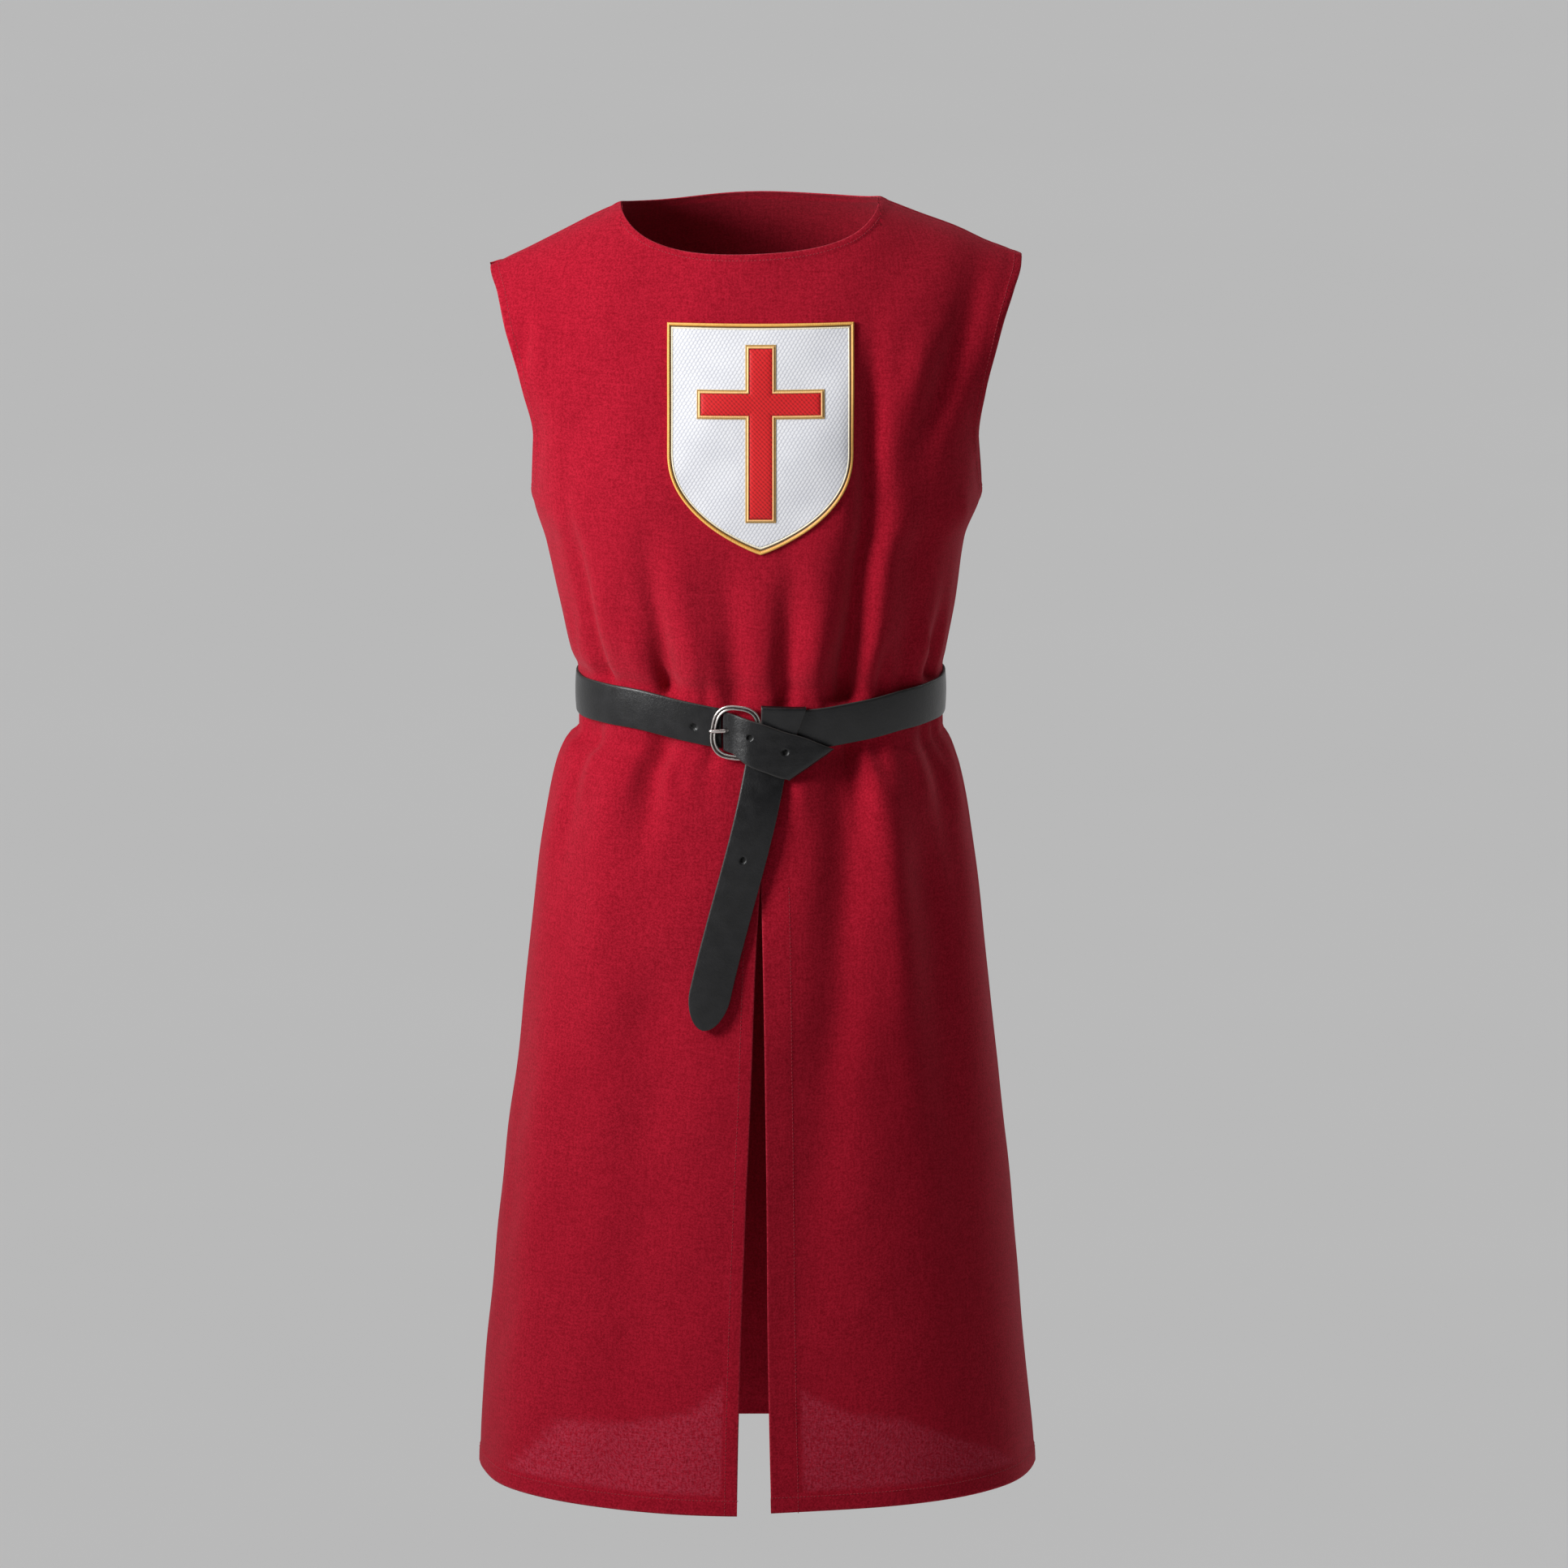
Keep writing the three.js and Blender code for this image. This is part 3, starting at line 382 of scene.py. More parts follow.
def own_relief(panel, angle, x, z):
    """How far a panel stands off the smooth form, outwards. The left shoulder sinks by
    deep * ease((-x - beside) / across) * ease((z + under) / down)."""
    sunk = (SUNK_SHOULDER["deep"]
            * ease((-x - SUNK_SHOULDER["beside"]) / SUNK_SHOULDER["across"])
            * ease((z + SUNK_SHOULDER["under"]) / SUNK_SHOULDER["down"]))
    return (fold_depth(panel, angle, z) + crease_depth(panel["creases"], x, z)
            + uneven_depth(panel["waves"], angle, z) - sunk)


def relief(panel, angle, x, z):
    """The panel's relief, which turns into the mean of both panels' at the side and shoulder
    seams, so that their edges meet."""
    near = np.maximum(ease((np.abs(angle) - JOINED["angle"]) / JOINED["turn"]),
                      ease(1.2 - (shoulder_height(x) - z) / JOINED["under"]))
    both = mix(own_relief(FRONT, angle, x, z), own_relief(BACK, angle, x, z), 0.5)
    return mix(own_relief(panel, angle, x, z), both, near)


# ---- mesh making


def new_piece(name, points, quads, uv=None, marks=None):
    """A mesh object from millimetre points and quads, with a UV map in metres and marks."""
    mesh = bpy.data.meshes.new(name)
    points = np.asarray(points, float).reshape(-1, 3)
    quads = np.asarray(quads, int).reshape(-1, 4)
    mesh.vertices.add(len(points))
    mesh.vertices.foreach_set("co", (points * MM).astype(np.float32).ravel())
    mesh.loops.add(quads.size)
    mesh.loops.foreach_set("vertex_index", quads.astype(np.int32).ravel())
    mesh.polygons.add(len(quads))
    mesh.polygons.foreach_set("loop_start", np.arange(0, quads.size, 4, dtype=np.int32))
    mesh.polygons.foreach_set("use_smooth", np.ones(len(quads), bool))
    mesh.update(calc_edges=True)
    if uv is not None:
        layer = mesh.uv_layers.new(name="flat")
        flat = np.asarray(uv, float).reshape(-1, 2) * MM
        layer.data.foreach_set("uv", flat[quads.ravel()].astype(np.float32).ravel())
    for mark, values in (marks or {}).items():
        attribute = mesh.attributes.new(mark, "FLOAT", "POINT")
        attribute.data.foreach_set("value", np.asarray(values, np.float32).ravel())
    mesh.validate()
    piece = bpy.data.objects.new(name, mesh)
    bpy.context.scene.collection.objects.link(piece)
    return piece


def thicken(piece, name, millimetres):
    """Thickness inwards from the surface."""
    wall = piece.modifiers.new(name, "SOLIDIFY")
    wall.thickness, wall.offset = millimetres * MM, -1
    return piece


def grid_quads(ids, flip=False):
    """Quads of a grid of vertex numbers."""
    quads = np.stack([ids[:-1, :-1], ids[1:, :-1], ids[1:, 1:], ids[:-1, 1:]], -1).reshape(-1, 4)
    return quads[:, ::-1] if flip else quads


def wrapped(ids, axis):
    """Vertex numbers with the first row or column repeated at the end, to close a ring."""
    return np.concatenate([ids, np.take(ids, [0], axis)], axis)


def ring_quads(shape, flip=False):
    """Quads of a grid that closes on itself both ways."""
    return grid_quads(wrapped(wrapped(np.arange(np.prod(shape)).reshape(shape), 0), 1), flip)


def tube_quads(shape, flip=False):
    """Quads round a tube of rings, and a strip of quads over each of its two ends."""
    ids = np.arange(np.prod(shape)).reshape(shape)
    i = np.arange(shape[1] // 2 - 1)
    first, last = (np.stack([ring[i], ring[i + 1], ring[-2 - i], ring[-1 - i]], -1)
                   for ring in (ids[0], ids[-1]))
    caps = (first[:, ::-1], last) if flip else (first, last[:, ::-1])
    return np.concatenate([grid_quads(wrapped(ids, 1), flip), *caps])


def stretch(start, end, count, crowd=0.0):
    """Positions from start up to but without end, closer together at both ends."""
    u = np.arange(count) / count
    return mix(start, end, u - crowd * np.sin(2 * np.pi * u) / (2 * np.pi))


def arc_lengths(points, axis):
    """Running length along one axis of a grid of points."""
    steps = np.linalg.norm(np.diff(points, axis=axis), axis=-1)
    start = np.zeros_like(np.take(steps, [0], axis))
    return np.concatenate([start, np.cumsum(steps, axis)], axis)


def distance_to(points, line):
    """Distance from each point of a grid to the nearest point of a line."""
    flat = points.reshape(-1, 3)
    found = np.empty(len(flat))
    for at in range(0, len(flat), 8000):
        part = flat[at:at + 8000, None, :] - line[None, :, :]
        found[at:at + 8000] = np.sqrt((part ** 2).sum(-1).min(1))
    return found.reshape(points.shape[:-1])


def finish_piece(piece, material, slot, *nodes):
    """Material, body and the frame's nodes that the piece stands for. The slot is not used."""
    piece.data.materials.append(material)
    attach(piece, "root")
    if nodes:
        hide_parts(*nodes)
    return piece


# ---- materials


def both_ways(operation):
    """An operator's method and its reflected form. Each adds a Math node."""
    return (lambda self, other: self.maths(operation, self, other),
            lambda self, other: self.maths(operation, other, self))


class Value:
    """A shader socket that takes part in Python sums, products and powers."""

    def __init__(self, finish, socket):
        self.finish, self.socket = finish, socket

    def maths(self, operation, *values):
        return self.finish.node("ShaderNodeMath", {"operation": operation},
                                dict(enumerate(values)))

    __add__, __radd__ = both_ways("ADD")
    __sub__, __rsub__ = both_ways("SUBTRACT")
    __mul__, __rmul__ = both_ways("MULTIPLY")
    __truediv__, __rtruediv__ = both_ways("DIVIDE")
    __pow__, __rpow__ = both_ways("POWER")

    def sine(self):
        return self.maths("SINE", self)

    def floor(self):
        return self.maths("FLOOR", self)

    def size(self):
        return self.maths("ABSOLUTE", self)

    def between(self, low, high):
        """Nought below low, one above high, eased in between."""
        return self.finish.node("ShaderNodeMapRange", {"interpolation_type": "SMOOTHSTEP"},
                                {0: self, 1: low, 2: high})


class Finish:
    """One material: its principled shader, and the nodes that lead into it."""

    def __init__(self, name, **constants):
        self.material = bpy.data.materials.new(name)
        self.material.use_nodes = True
        self.tree = self.material.node_tree
        self.shader = self.tree.nodes["Principled BSDF"]
        for socket, value in constants.items():
            self.shader.inputs[socket.replace("_", " ")].default_value = value

    def feed(self, socket, value):
        if isinstance(value, Value):
            self.tree.links.new(value.socket, socket)
        else:
            socket.default_value = value

    def node(self, kind, settings=None, values=None, output=0):
        """A node of a type, with its settings first, then its sockets' values or links."""
        made = self.tree.nodes.new(kind)
        for setting, value in (settings or {}).items():
            if setting == "stops":
                for place, colour in value[2:]:
                    made.color_ramp.elements.new(place)
                for element, (place, colour) in zip(made.color_ramp.elements, value):
                    element.position, element.color = place, (*colour, 1)
            else:
                setattr(made, setting, value)
        for socket, value in (values or {}).items():
            self.feed(made.inputs[socket], value)
        return Value(self, made.outputs[output])

    def place(self):
        """Object coordinates, in metres."""
        return self.node("ShaderNodeTexCoord", output="Object")

    def parts(self, vector):
        """x, y and z of a vector."""
        made = self.node("ShaderNodeSeparateXYZ", None, {0: vector}).socket.node
        return [Value(self, output) for output in made.outputs]

    def join(self, x, y, z=0.0):
        return self.node("ShaderNodeCombineXYZ", None, {0: x, 1: y, 2: z})

    def flat(self):
        """The piece's own UV map, in metres."""
        return self.parts(self.node("ShaderNodeUVMap", {"uv_map": "flat"}))[:2]

    def mark(self, name):
        """A per-vertex number of the piece."""
        return self.node("ShaderNodeAttribute", {"attribute_name": name}, output="Fac")

    def noise(self, grain, detail=2, rough=0.5, at=None):
        """Noise with a grain in millimetres, at the object's own places or at others."""
        return self.node("ShaderNodeTexNoise", None, {
            "Vector": at or self.place(), "Scale": 1 / (grain * MM), "Detail": detail,
            "Roughness": rough})

    def blend(self, factor, first, second, mode="MIX"):
        """A colour between two colours, or one laid on the other."""
        made = self.node("ShaderNodeMix", {"data_type": "RGBA", "blend_type": mode,
                                           "clamp_factor": True}, {0: factor}).socket.node
        for socket, value in ((6, first), (7, second)):
            self.feed(made.inputs[socket], value if isinstance(value, Value) else (*value, 1))
        return Value(self, made.outputs[2])

    def bump(self, height, millimetres, strength=1.0, under=None):
        """A bump whose full height is given in millimetres, laid over another."""
        values = {"Height": height, "Distance": millimetres * MM, "Strength": strength}
        if under is not None:
            values["Normal"] = under
        return self.node("ShaderNodeBump", None, values)

    def done(self, **links):
        for socket, value in links.items():
            self.feed(self.shader.inputs[socket.replace("_", " ")], value)
        return self.material


def red_cloth():
    """Plain-woven red cloth with slubby yarns and a short nap, thinner above the hem, where it is
    painted paler: a painted glow of light shining through the thinner cloth.
    """
    m = Finish("red_plain_weave", Sheen_Weight=0.15, Sheen_Roughness=0.5,
               Sheen_Tint=(1.0, 0.5, 0.56, 1), Specular_IOR_Level=0.04)
    u, v = m.flat()
    yarn = 0.9 * MM
    across, down = u / yarn, v / yarn
    checker = (across.floor() + down.floor()) * 0.5
    over = (checker - checker.floor()) * 2
    warp = (across * np.pi).sine() ** 2
    weft = (down * np.pi).sine() ** 2
    weave = over * warp + (1 - over) * weft
    slub_warp = m.noise(2.4, at=m.join(u, v * 0.1))
    slub_weft = m.noise(2.4, at=m.join(u * 0.1, v))
    slubs = (slub_warp + slub_weft) * 0.5
    nap = m.noise(1.7, 3, 0.65)
    blotch = m.noise(90)
    tone = nap.between(0.34, 0.66) * 0.56 + slubs.between(0.36, 0.64) * 0.2 + weave * 0.24
    cloth = m.blend(tone, (0.20, 0.001, 0.008), (0.46, 0.011, 0.031))
    cloth = m.blend(blotch.between(0.35, 0.7) * 0.14, cloth, (0.30, 0.002, 0.014))
    streaks = m.noise(1.9, 2, 0.6, m.join(u, v * 0.35))
    gaps = m.noise(1.7, 3, 0.7, m.join(u * 0.6, v))
    # Painted backlight: the open weave above the hem is painted paler, for light shining through
    # the thinner cloth.
    open_weave_painted_backlight = (gaps * 0.6 + streaks * 0.4).between(0.40, 0.62) * m.mark("thin")
    cloth = m.blend(open_weave_painted_backlight * 0.34, cloth, (0.62, 0.085, 0.145))
    worn = m.mark("edge") * nap.between(0.25, 0.8)
    cloth = m.blend(worn * 0.45, cloth, (0.60, 0.06, 0.09))
    fibres = m.bump(nap, 0.42, 0.5)
    yarns = m.bump(weave * 0.4 + slubs * 0.6, 0.3, 0.45, fibres)
    return m.done(Base_Color=cloth, Roughness=0.82 + nap * 0.12, Normal=yarns)


def sewing_thread():
    """Matt red thread, a little lighter than the cloth, with its twist."""
    m = Finish("red_thread", Roughness=0.8, Sheen_Weight=0.1)
    twist = m.noise(0.8)
    return m.done(Base_Color=m.blend(twist, (0.20, 0.002, 0.010), (0.42, 0.012, 0.032)),
                  Normal=m.bump(twist, 0.15))


def white_embroidery():
    """White satin rows that rise to the right, each broken into short stitches, like rice. The
    grooves between rows and stitches are painted grey, a painted shade.
    """
    m = Finish("white_satin_rows", Sheen_Weight=0.1, Specular_IOR_Level=0.3)
    x, _, z = m.parts(m.place())
    wobble = m.noise(9) * (1.1 * MM)
    slant = (x * 0.84 - z * 0.54 + wobble) / (2.9 * MM)
    along = (x * 0.54 + z * 0.84) / (4 * MM)
    rows = (slant * np.pi).sine().size()
    grains = ((along + slant.floor() * 0.37) * np.pi).sine().size()
    fibres = m.noise(400, at=m.join(slant, along / 4))
    height = rows.between(0.0, 0.95) * 0.6 + grains.between(0.0, 0.8) * 0.4
    patches = m.noise(30, 1)
    # Painted shade: the low parts of the rows and stitches are painted grey-blue.
    tone = height * 0.7 + fibres * 0.2 + patches.between(0.3, 0.7) * 0.1
    white_painted_groove_shade = m.blend(tone, (0.42, 0.43, 0.50), (0.86, 0.865, 0.89))
    return m.done(Base_Color=white_painted_groove_shade, Roughness=0.52 + fibres * 0.2,
                  Normal=m.bump(height, 0.3, 0.55))


def red_embroidery():
    """Scarlet fill stitches that cross in two slants. Their crests are painted lighter and the
    hollows between them darker, as painted highlight and shade, so they read as small grains that
    catch the light.
    """
    m = Finish("scarlet_fill_stitch", Sheen_Weight=0.1, Specular_IOR_Level=0.4)
    x, _, z = m.parts(m.place())
    wobble = m.noise(5) * (0.8 * MM)
    rising = ((x * 0.72 + z * 0.69 + wobble) * (np.pi / (2.7 * MM))).sine().size()
    falling = ((x * 0.72 - z * 0.69 - wobble) * (np.pi / (3.2 * MM))).sine().size()
    grains = rising * 0.6 + falling * 0.4
    fibres = m.noise(0.9)
    # Painted highlight and shade: the colour follows the stitches' height.
    tone = grains.between(0.25, 0.85) * 0.75 + fibres * 0.25
    red = m.blend(tone, (0.30, 0.001, 0.004), (0.74, 0.008, 0.012))
    return m.done(Base_Color=red, Roughness=0.5 + fibres * 0.15, Normal=m.bump(grains, 0.22, 0.5))


def gold_cord(name, stops):
    """Couched metallic cord. Its colours run across it, from its outer to its inner side, with
    painted shade in the border's groove and a painted shadow on the outline's inner side, and its
    threads wind round it."""
    m = Finish(name, Specular_IOR_Level=0.55)
    along, across = m.flat()
    winding = ((along + across * WINDING_LEAN) * (2 * np.pi / (1.3 * MM))).sine()
    dirt = m.noise(3)
    colour = m.node("ShaderNodeValToRGB", {"stops": stops}, {0: across / (7 * MM)})
    shade = m.blend((winding * 0.5 + 0.5) * 0.09 + dirt.between(0.4, 0.7) * 0.14, colour,
                    (0.30, 0.13, 0.02), "MULTIPLY")
    return m.done(Base_Color=shade, Roughness=0.36 + dirt * 0.2,
                  Normal=m.bump(winding, 0.10, 0.5))


def black_leather():
    """Black dyed belt leather: pebbled grain, fine creases, dull pale cut edges, and painted
    shade, near black, in its punched holes and where the strap lies inside the buckle's ring.
    """
    m = Finish("black_belt_leather", Specular_IOR_Level=0.5, Coat_Roughness=0.3)
    along, across = m.flat()
    flat = m.join(along, across)
    pebbles = m.node("ShaderNodeTexVoronoi", {"feature": "DISTANCE_TO_EDGE"},
                     {"Vector": flat, "Scale": 1 / (1.1 * MM)})
    pores = m.noise(0.7, 3, 0.6, flat)
    creases = m.noise(2.6, 4, 0.65)
    wear = m.noise(14, 3, at=flat)
    sunk = m.mark("sunk")
    edge = m.mark("edge")
    leather = m.blend(wear.between(0.35, 0.7) * 0.6 + pores * 0.25,
                      (0.002, 0.002, 0.0026), (0.008, 0.0078, 0.0088))
    leather = m.blend(edge * (0.4 + pores * 0.4), leather, (0.05, 0.046, 0.043))
    # Painted shade: the holes' pits and the strap inside the buckle's ring are painted near black,
    # with no coat and a rough finish.
    leather = m.blend(sunk, leather, (0.003, 0.003, 0.003))
    height = pebbles.between(0.0, 0.25) * 0.25 + pores * 0.3 + creases.between(0.35, 0.65) * 0.7
    return m.done(Base_Color=leather, Roughness=0.28 + wear * 0.16 + edge * 0.3 + sunk * 0.6,
                  Coat_Weight=0.2 * (1 - edge) * (1 - sunk), Normal=m.bump(height, 0.16, 0.6))


def aged_nickel():
    """Nickel plate, worn bright on its ridges with a painted highlight there, and dull brown in
    its hollows, partly patina and partly painted shade.
    """
    m = Finish("aged_nickel_painted_highlights", Metallic=1.0)
    spots = m.noise(1.6, 3, 0.6)
    brush = m.noise(5.5, 3)
    ridge = m.mark("ridge")
    # Painted highlight and shade: the bar's ridges and the tongue's outer side are painted bright,
    # partly wear, and the groove is painted dark.
    tone = (ridge * 0.75 + spots * 0.35).between(0.25, 0.85)
    nickel = m.blend(tone, (0.06, 0.046, 0.042), (0.78, 0.73, 0.70))
    nickel = m.blend(brush.between(0.52, 0.72) * 0.4, nickel, (0.46, 0.34, 0.32))
    return m.done(Base_Color=nickel, Roughness=0.22 + spots * 0.16 + (1 - ridge) * 0.14,
                  Normal=m.bump(spots, 0.06, 0.6))


def studio_paper():
    """Pale seamless paper for the floor."""
    m = Finish("pale_paper", Roughness=0.95, Specular_IOR_Level=0.1)
    fibre = m.noise(400)
    return m.done(Base_Color=m.blend(fibre, (0.747, 0.747, 0.747), (0.765, 0.765, 0.765)))


# ---- cloth panels


def panel_rows(counts, crowd=0.72):
    """Down and level of each row: the top zone first, then levels to the hem. Crowd draws the
    rows of the first and the last zone towards both its ends."""
    top, chest, waist, hip, skirt = counts
    down = np.r_[stretch(0, 1, top, crowd), np.ones(chest + waist + hip + skirt + 1)]
    levels = np.r_[np.full(top, float(UNDERARM)), stretch(UNDERARM, UPPER, chest),
                   stretch(UPPER, LOWER, waist), stretch(LOWER, APEX, hip),
                   stretch(APEX, HEM, skirt, crowd), HEM]
    return down, levels


def turned_hem(distance, width, rise, stitch):
    """Height of a turned hem: full up to its width, a soft step down there, a rounded edge,
    and a dent along its stitching."""
    step = rise * (1 - ease((distance - width + 1.3) / 2.6))
    edge = 0.55 * np.clip(1 - distance / 1.4, 0, 1) ** 2
    return step - edge - 0.3 * bell(distance - stitch, 1.2)


class Sheet:
    """A grid of cloth between two angles, with its edges, distances to them and relief."""

    def __init__(self, panel, angles, rows, slit_side):
        self.panel, self.slit_side = panel, slit_side
        down, levels = rows
        angle, down = np.broadcast_arrays(angles[None, :], down[:, None])
        level = np.broadcast_to(levels[:, None], angle.shape)
        self.down, self.level, self.column = down, level, angle
        self.half = "left" if slit_side < 0 else "right"
        if slit_side:
            grown = np.clip((level - APEX) / (HEM - APEX), 0, 1)
            opened = grown ** SLIT["growth"] * np.maximum(
                1 - np.abs(angle - SLIT["angle"]) / SLIT["fade"], 0)
            level = level - HEM_DROP[self.half] * grown * np.cos(np.radians(angle)) ** 2
            angle = angle + slit_side * SLIT[self.half] * opened
        points, normals = form(panel, angle, down, level)
        seam = np.abs(points[..., 1]) < 0.01
        normals[..., 1] = np.where(seam, 0, normals[..., 1])
        self.normals = unit(normals)
        stand = relief(panel, angle, points[..., 0], points[..., 2])
        if slit_side > 0:
            beside = np.maximum(points[..., 0] - PROUD["beside"], 0)
            stand = stand + PROUD["most"] * ease((APEX - level) / PROUD["fall"]) * np.exp(
                -beside / PROUD["reach"])
        self.points = moved(points, self.normals, stand)
        self.distance = {name: distance_to(self.points, line)
                         for name, line in self.find_edges().items()}
        self.raise_hems()
        self.points[..., 1] = np.where(np.abs(self.points[..., 1]) < 0.2, 0, self.points[..., 1])

    def find_edges(self):
        """The panel's outer edges, each as a line of points."""
        at_neck = (self.column[0] >= NECK_LEFT - 1e-6) & (self.column[0] <= NECK_RIGHT + 1e-6)
        upper = self.down[:, 0] < 1
        sides = [end for end, angle in ((0, -90), (-1, 90)) if self.column[0, end] == angle]
        edges = {"neck": self.points[0, at_neck], "shoulder": self.points[0, ~at_neck],
                 "hem": self.points[-1],
                 "armhole": np.concatenate([self.points[upper, end] for end in sides]),
                 "seam": np.concatenate([self.points[~upper, end] for end in sides])}
        if self.slit_side:
            edges["slit"] = self.points[self.level[:, 0] <= APEX, -1 if self.slit_side < 0 else 0]
        return edges

    def raise_hems(self):
        """Hems stand on the cloth, and seams pull it in."""
        raised, seams = np.zeros((2, *self.points.shape[:-1]))
        self.worn = np.zeros_like(raised)
        for name, far in self.distance.items():
            if name in ("shoulder", "seam"):
                seams += sum(height * bell(far - at, wide) for height, at, wide in SEAM_PULL)
            else:
                band = turned_hem(far, *self.hem(name))
                raised = np.where(np.abs(band) > np.abs(raised), band, raised)
                self.worn += bell(far, WORN_WIDTH)
        self.points = moved(self.points, self.normals, raised + seams)

    def hem(self, name):
        """Width, rise and stitching of a hem."""
        return HEMS[f"{self.half} slit" if name == "slit" else name]

    def stitching(self, edge, from_end=False):
        """Points and normals of the line of stitching inside an edge. Each row, or column, is
        searched from the edge for the first place that lies so far in."""
        distance = self.hem(edge)[-1]
        points, normals, far = self.points, self.normals, self.distance[edge]
        if edge in ("neck", "hem"):
            points, normals, far = points.swapaxes(0, 1), normals.swapaxes(0, 1), far.T
        if from_end:
            points, normals, far = points[:, ::-1], normals[:, ::-1], far[:, ::-1]
        keep = {"armhole": self.down[:, 0] < 1, "slit": self.level[:, 0] <= APEX - 4,
                "neck": (self.column[0] > NECK_LEFT) & (self.column[0] < NECK_RIGHT),
                "hem": np.ones(len(far), bool)}[edge]
        points, normals, far = points[keep], normals[keep], far[keep]
        second = np.clip(np.argmax(far > distance, 1), 1, None)
        rows = np.arange(len(far))
        a, b = far[rows, second - 1], far[rows, second]
        t = np.clip((distance - a) / np.maximum(b - a, 1e-9), 0, 1)[:, None]
        place = mix(points[rows, second - 1], points[rows, second], t)
        normal = unit(mix(normals[rows, second - 1], normals[rows, second], t))
        return place, normal


def thin_patches_painted_backlight(sheet):
    """Where light shining through the cloth above the front hem is painted paler: two patches of
    thinner cloth, each under a curved top, that keep clear of the slit's facings and of the hem."""
    if not sheet.slit_side:
        return np.zeros(sheet.points.shape[:-1])
    x = sheet.points[..., 0]
    height, from_slit = sheet.distance["hem"], sheet.distance["slit"]
    if sheet.slit_side < 0:
        tops = np.interp(x, [-230, -178, -119, -60, -35, -20], [14, 76, 80, 95, 117, 140])
        clear = 13
    else:
        tops = np.interp(x, [10, 43, 87, 131, 175, 212, 240], [140, 110, 87, 80, 58, 39, 14])
        clear = 28
    return (ease((tops - height) / 7 + 0.5) * ease((height - 17) / 4)
            * ease((from_slit - clear) / 4))


def panel_mesh(name, sheets):
    """One mesh from its sheets. Above the slit's top the second sheet shares the first one's
    last column, so the cloth is whole there."""
    parts, shared, start = [], None, 0
    for sheet in sheets:
        own = np.ones(sheet.points.shape[:2], bool)
        if shared is not None:
            own[:, 0] = sheet.level[:, 0] < APEX
        ids = np.zeros(own.shape, int)
        ids[own] = start + np.arange(own.sum())
        if shared is not None:
            ids[:, 0] = np.where(own[:, 0], ids[:, 0], shared)
        start, shared = start + own.sum(), ids[:, -1]
        middle = np.argmin(np.abs(sheet.column[0] - SLIT["angle"]))
        underarm = np.argmax(sheet.down[:, 0] >= 1)
        across = arc_lengths(sheet.points * np.array([1, 1, 0]), 1)
        down = arc_lengths(sheet.points, 0)
        uv = np.stack([across - across[:, [middle]], down - down[[underarm]]], -1)
        parts.append((sheet.points[own], uv[own], thin_patches_painted_backlight(sheet)[own],
                      np.clip(sheet.worn, 0, 1)[own], grid_quads(ids, sheet.panel is BACK)))
    points, uv, thin, worn, quads = (np.concatenate(part) for part in zip(*parts))
    piece = new_piece(name, points, quads, uv, {"thin": thin, "edge": worn})
    return thicken(piece, "cloth", CLOTH_THICK)


def beside_neck(count, right):
    """Angles from a side seam to the neck, or from the neck to the other side seam."""
    return stretch(*((NECK_RIGHT, 90) if right else (-90, NECK_LEFT)), count, 0.72)


NECK_CROWD = 0.97
front_rows = panel_rows((88, 44, 12, 32, 108))
left_sheet = Sheet(FRONT, np.r_[beside_neck(34, False),
                                stretch(NECK_LEFT, SLIT["angle"], 44, NECK_CROWD),
                                SLIT["angle"]], front_rows, -1)
right_sheet = Sheet(FRONT, np.r_[stretch(SLIT["angle"], NECK_RIGHT, 44, NECK_CROWD),
                                 beside_neck(34, True), 90], front_rows, 1)
back_sheet = Sheet(BACK, np.r_[beside_neck(28, False),
                               stretch(NECK_LEFT, NECK_RIGHT, 56, NECK_CROWD),
                               beside_neck(28, True), 90],
                   panel_rows((66, 32, 10, 24, 76)), 0)

cloth = red_cloth()
front = panel_mesh("tabard_front", [left_sheet, right_sheet])
finish_piece(front, cloth, "red_cloth", "front_panel")
back = panel_mesh("tabard_back", [back_sheet])
finish_piece(back, cloth, "red_cloth", "back_panel")

# ---- stitching

STITCH = {"pitch": 3.3, "length": 2.5, "radius": 0.36}


def stitch_row(place, normal):
    """Frames of evenly spaced stitches along a line: middle, direction, side and normal."""
    length = arc_lengths(place[None], 1)[0]
    keep = np.r_[True, np.diff(length) > 1e-6]
    place, normal, length = place[keep], normal[keep], length[keep]
    at = np.arange(STITCH["pitch"] / 2, length[-1], STITCH["pitch"])

    def along(values, at):
        return np.stack([np.interp(at, length, values[:, i]) for i in range(3)], -1)

    centres, up = along(place, at), unit(along(normal, at))
    heading = unit(along(place, at + 0.6) - along(place, at - 0.6))
    return centres, heading, unit(np.cross(up, heading)), up


def stitches(name, rows):
    """Small thread capsules: rings of six points whose radius is r * sqrt(1 - t^4) along the
    stitch, sunk a little at both ends."""
    centres, heading, beside, up = (np.concatenate(part)[:, None, None] for part in zip(*rows))
    t = np.array([-1, -0.7, 0, 0.7, 1.0])[:, None, None]
    turn = (np.arange(6) * np.pi / 3)[:, None]
    radius = STITCH["radius"] * np.sqrt(np.maximum(1 - t ** 4, 0.12))
    sink = 0.1 - 0.34 * t ** 2
    points = (centres + heading * t * STITCH["length"] / 2 + beside * radius * np.cos(turn)
              + up * (radius * np.sin(turn) + sink))
    each = np.prod(points.shape[1:3])
    quads = tube_quads((5, 6)) + each * np.arange(len(centres))[:, None, None]
    return new_piece(name, points, quads)


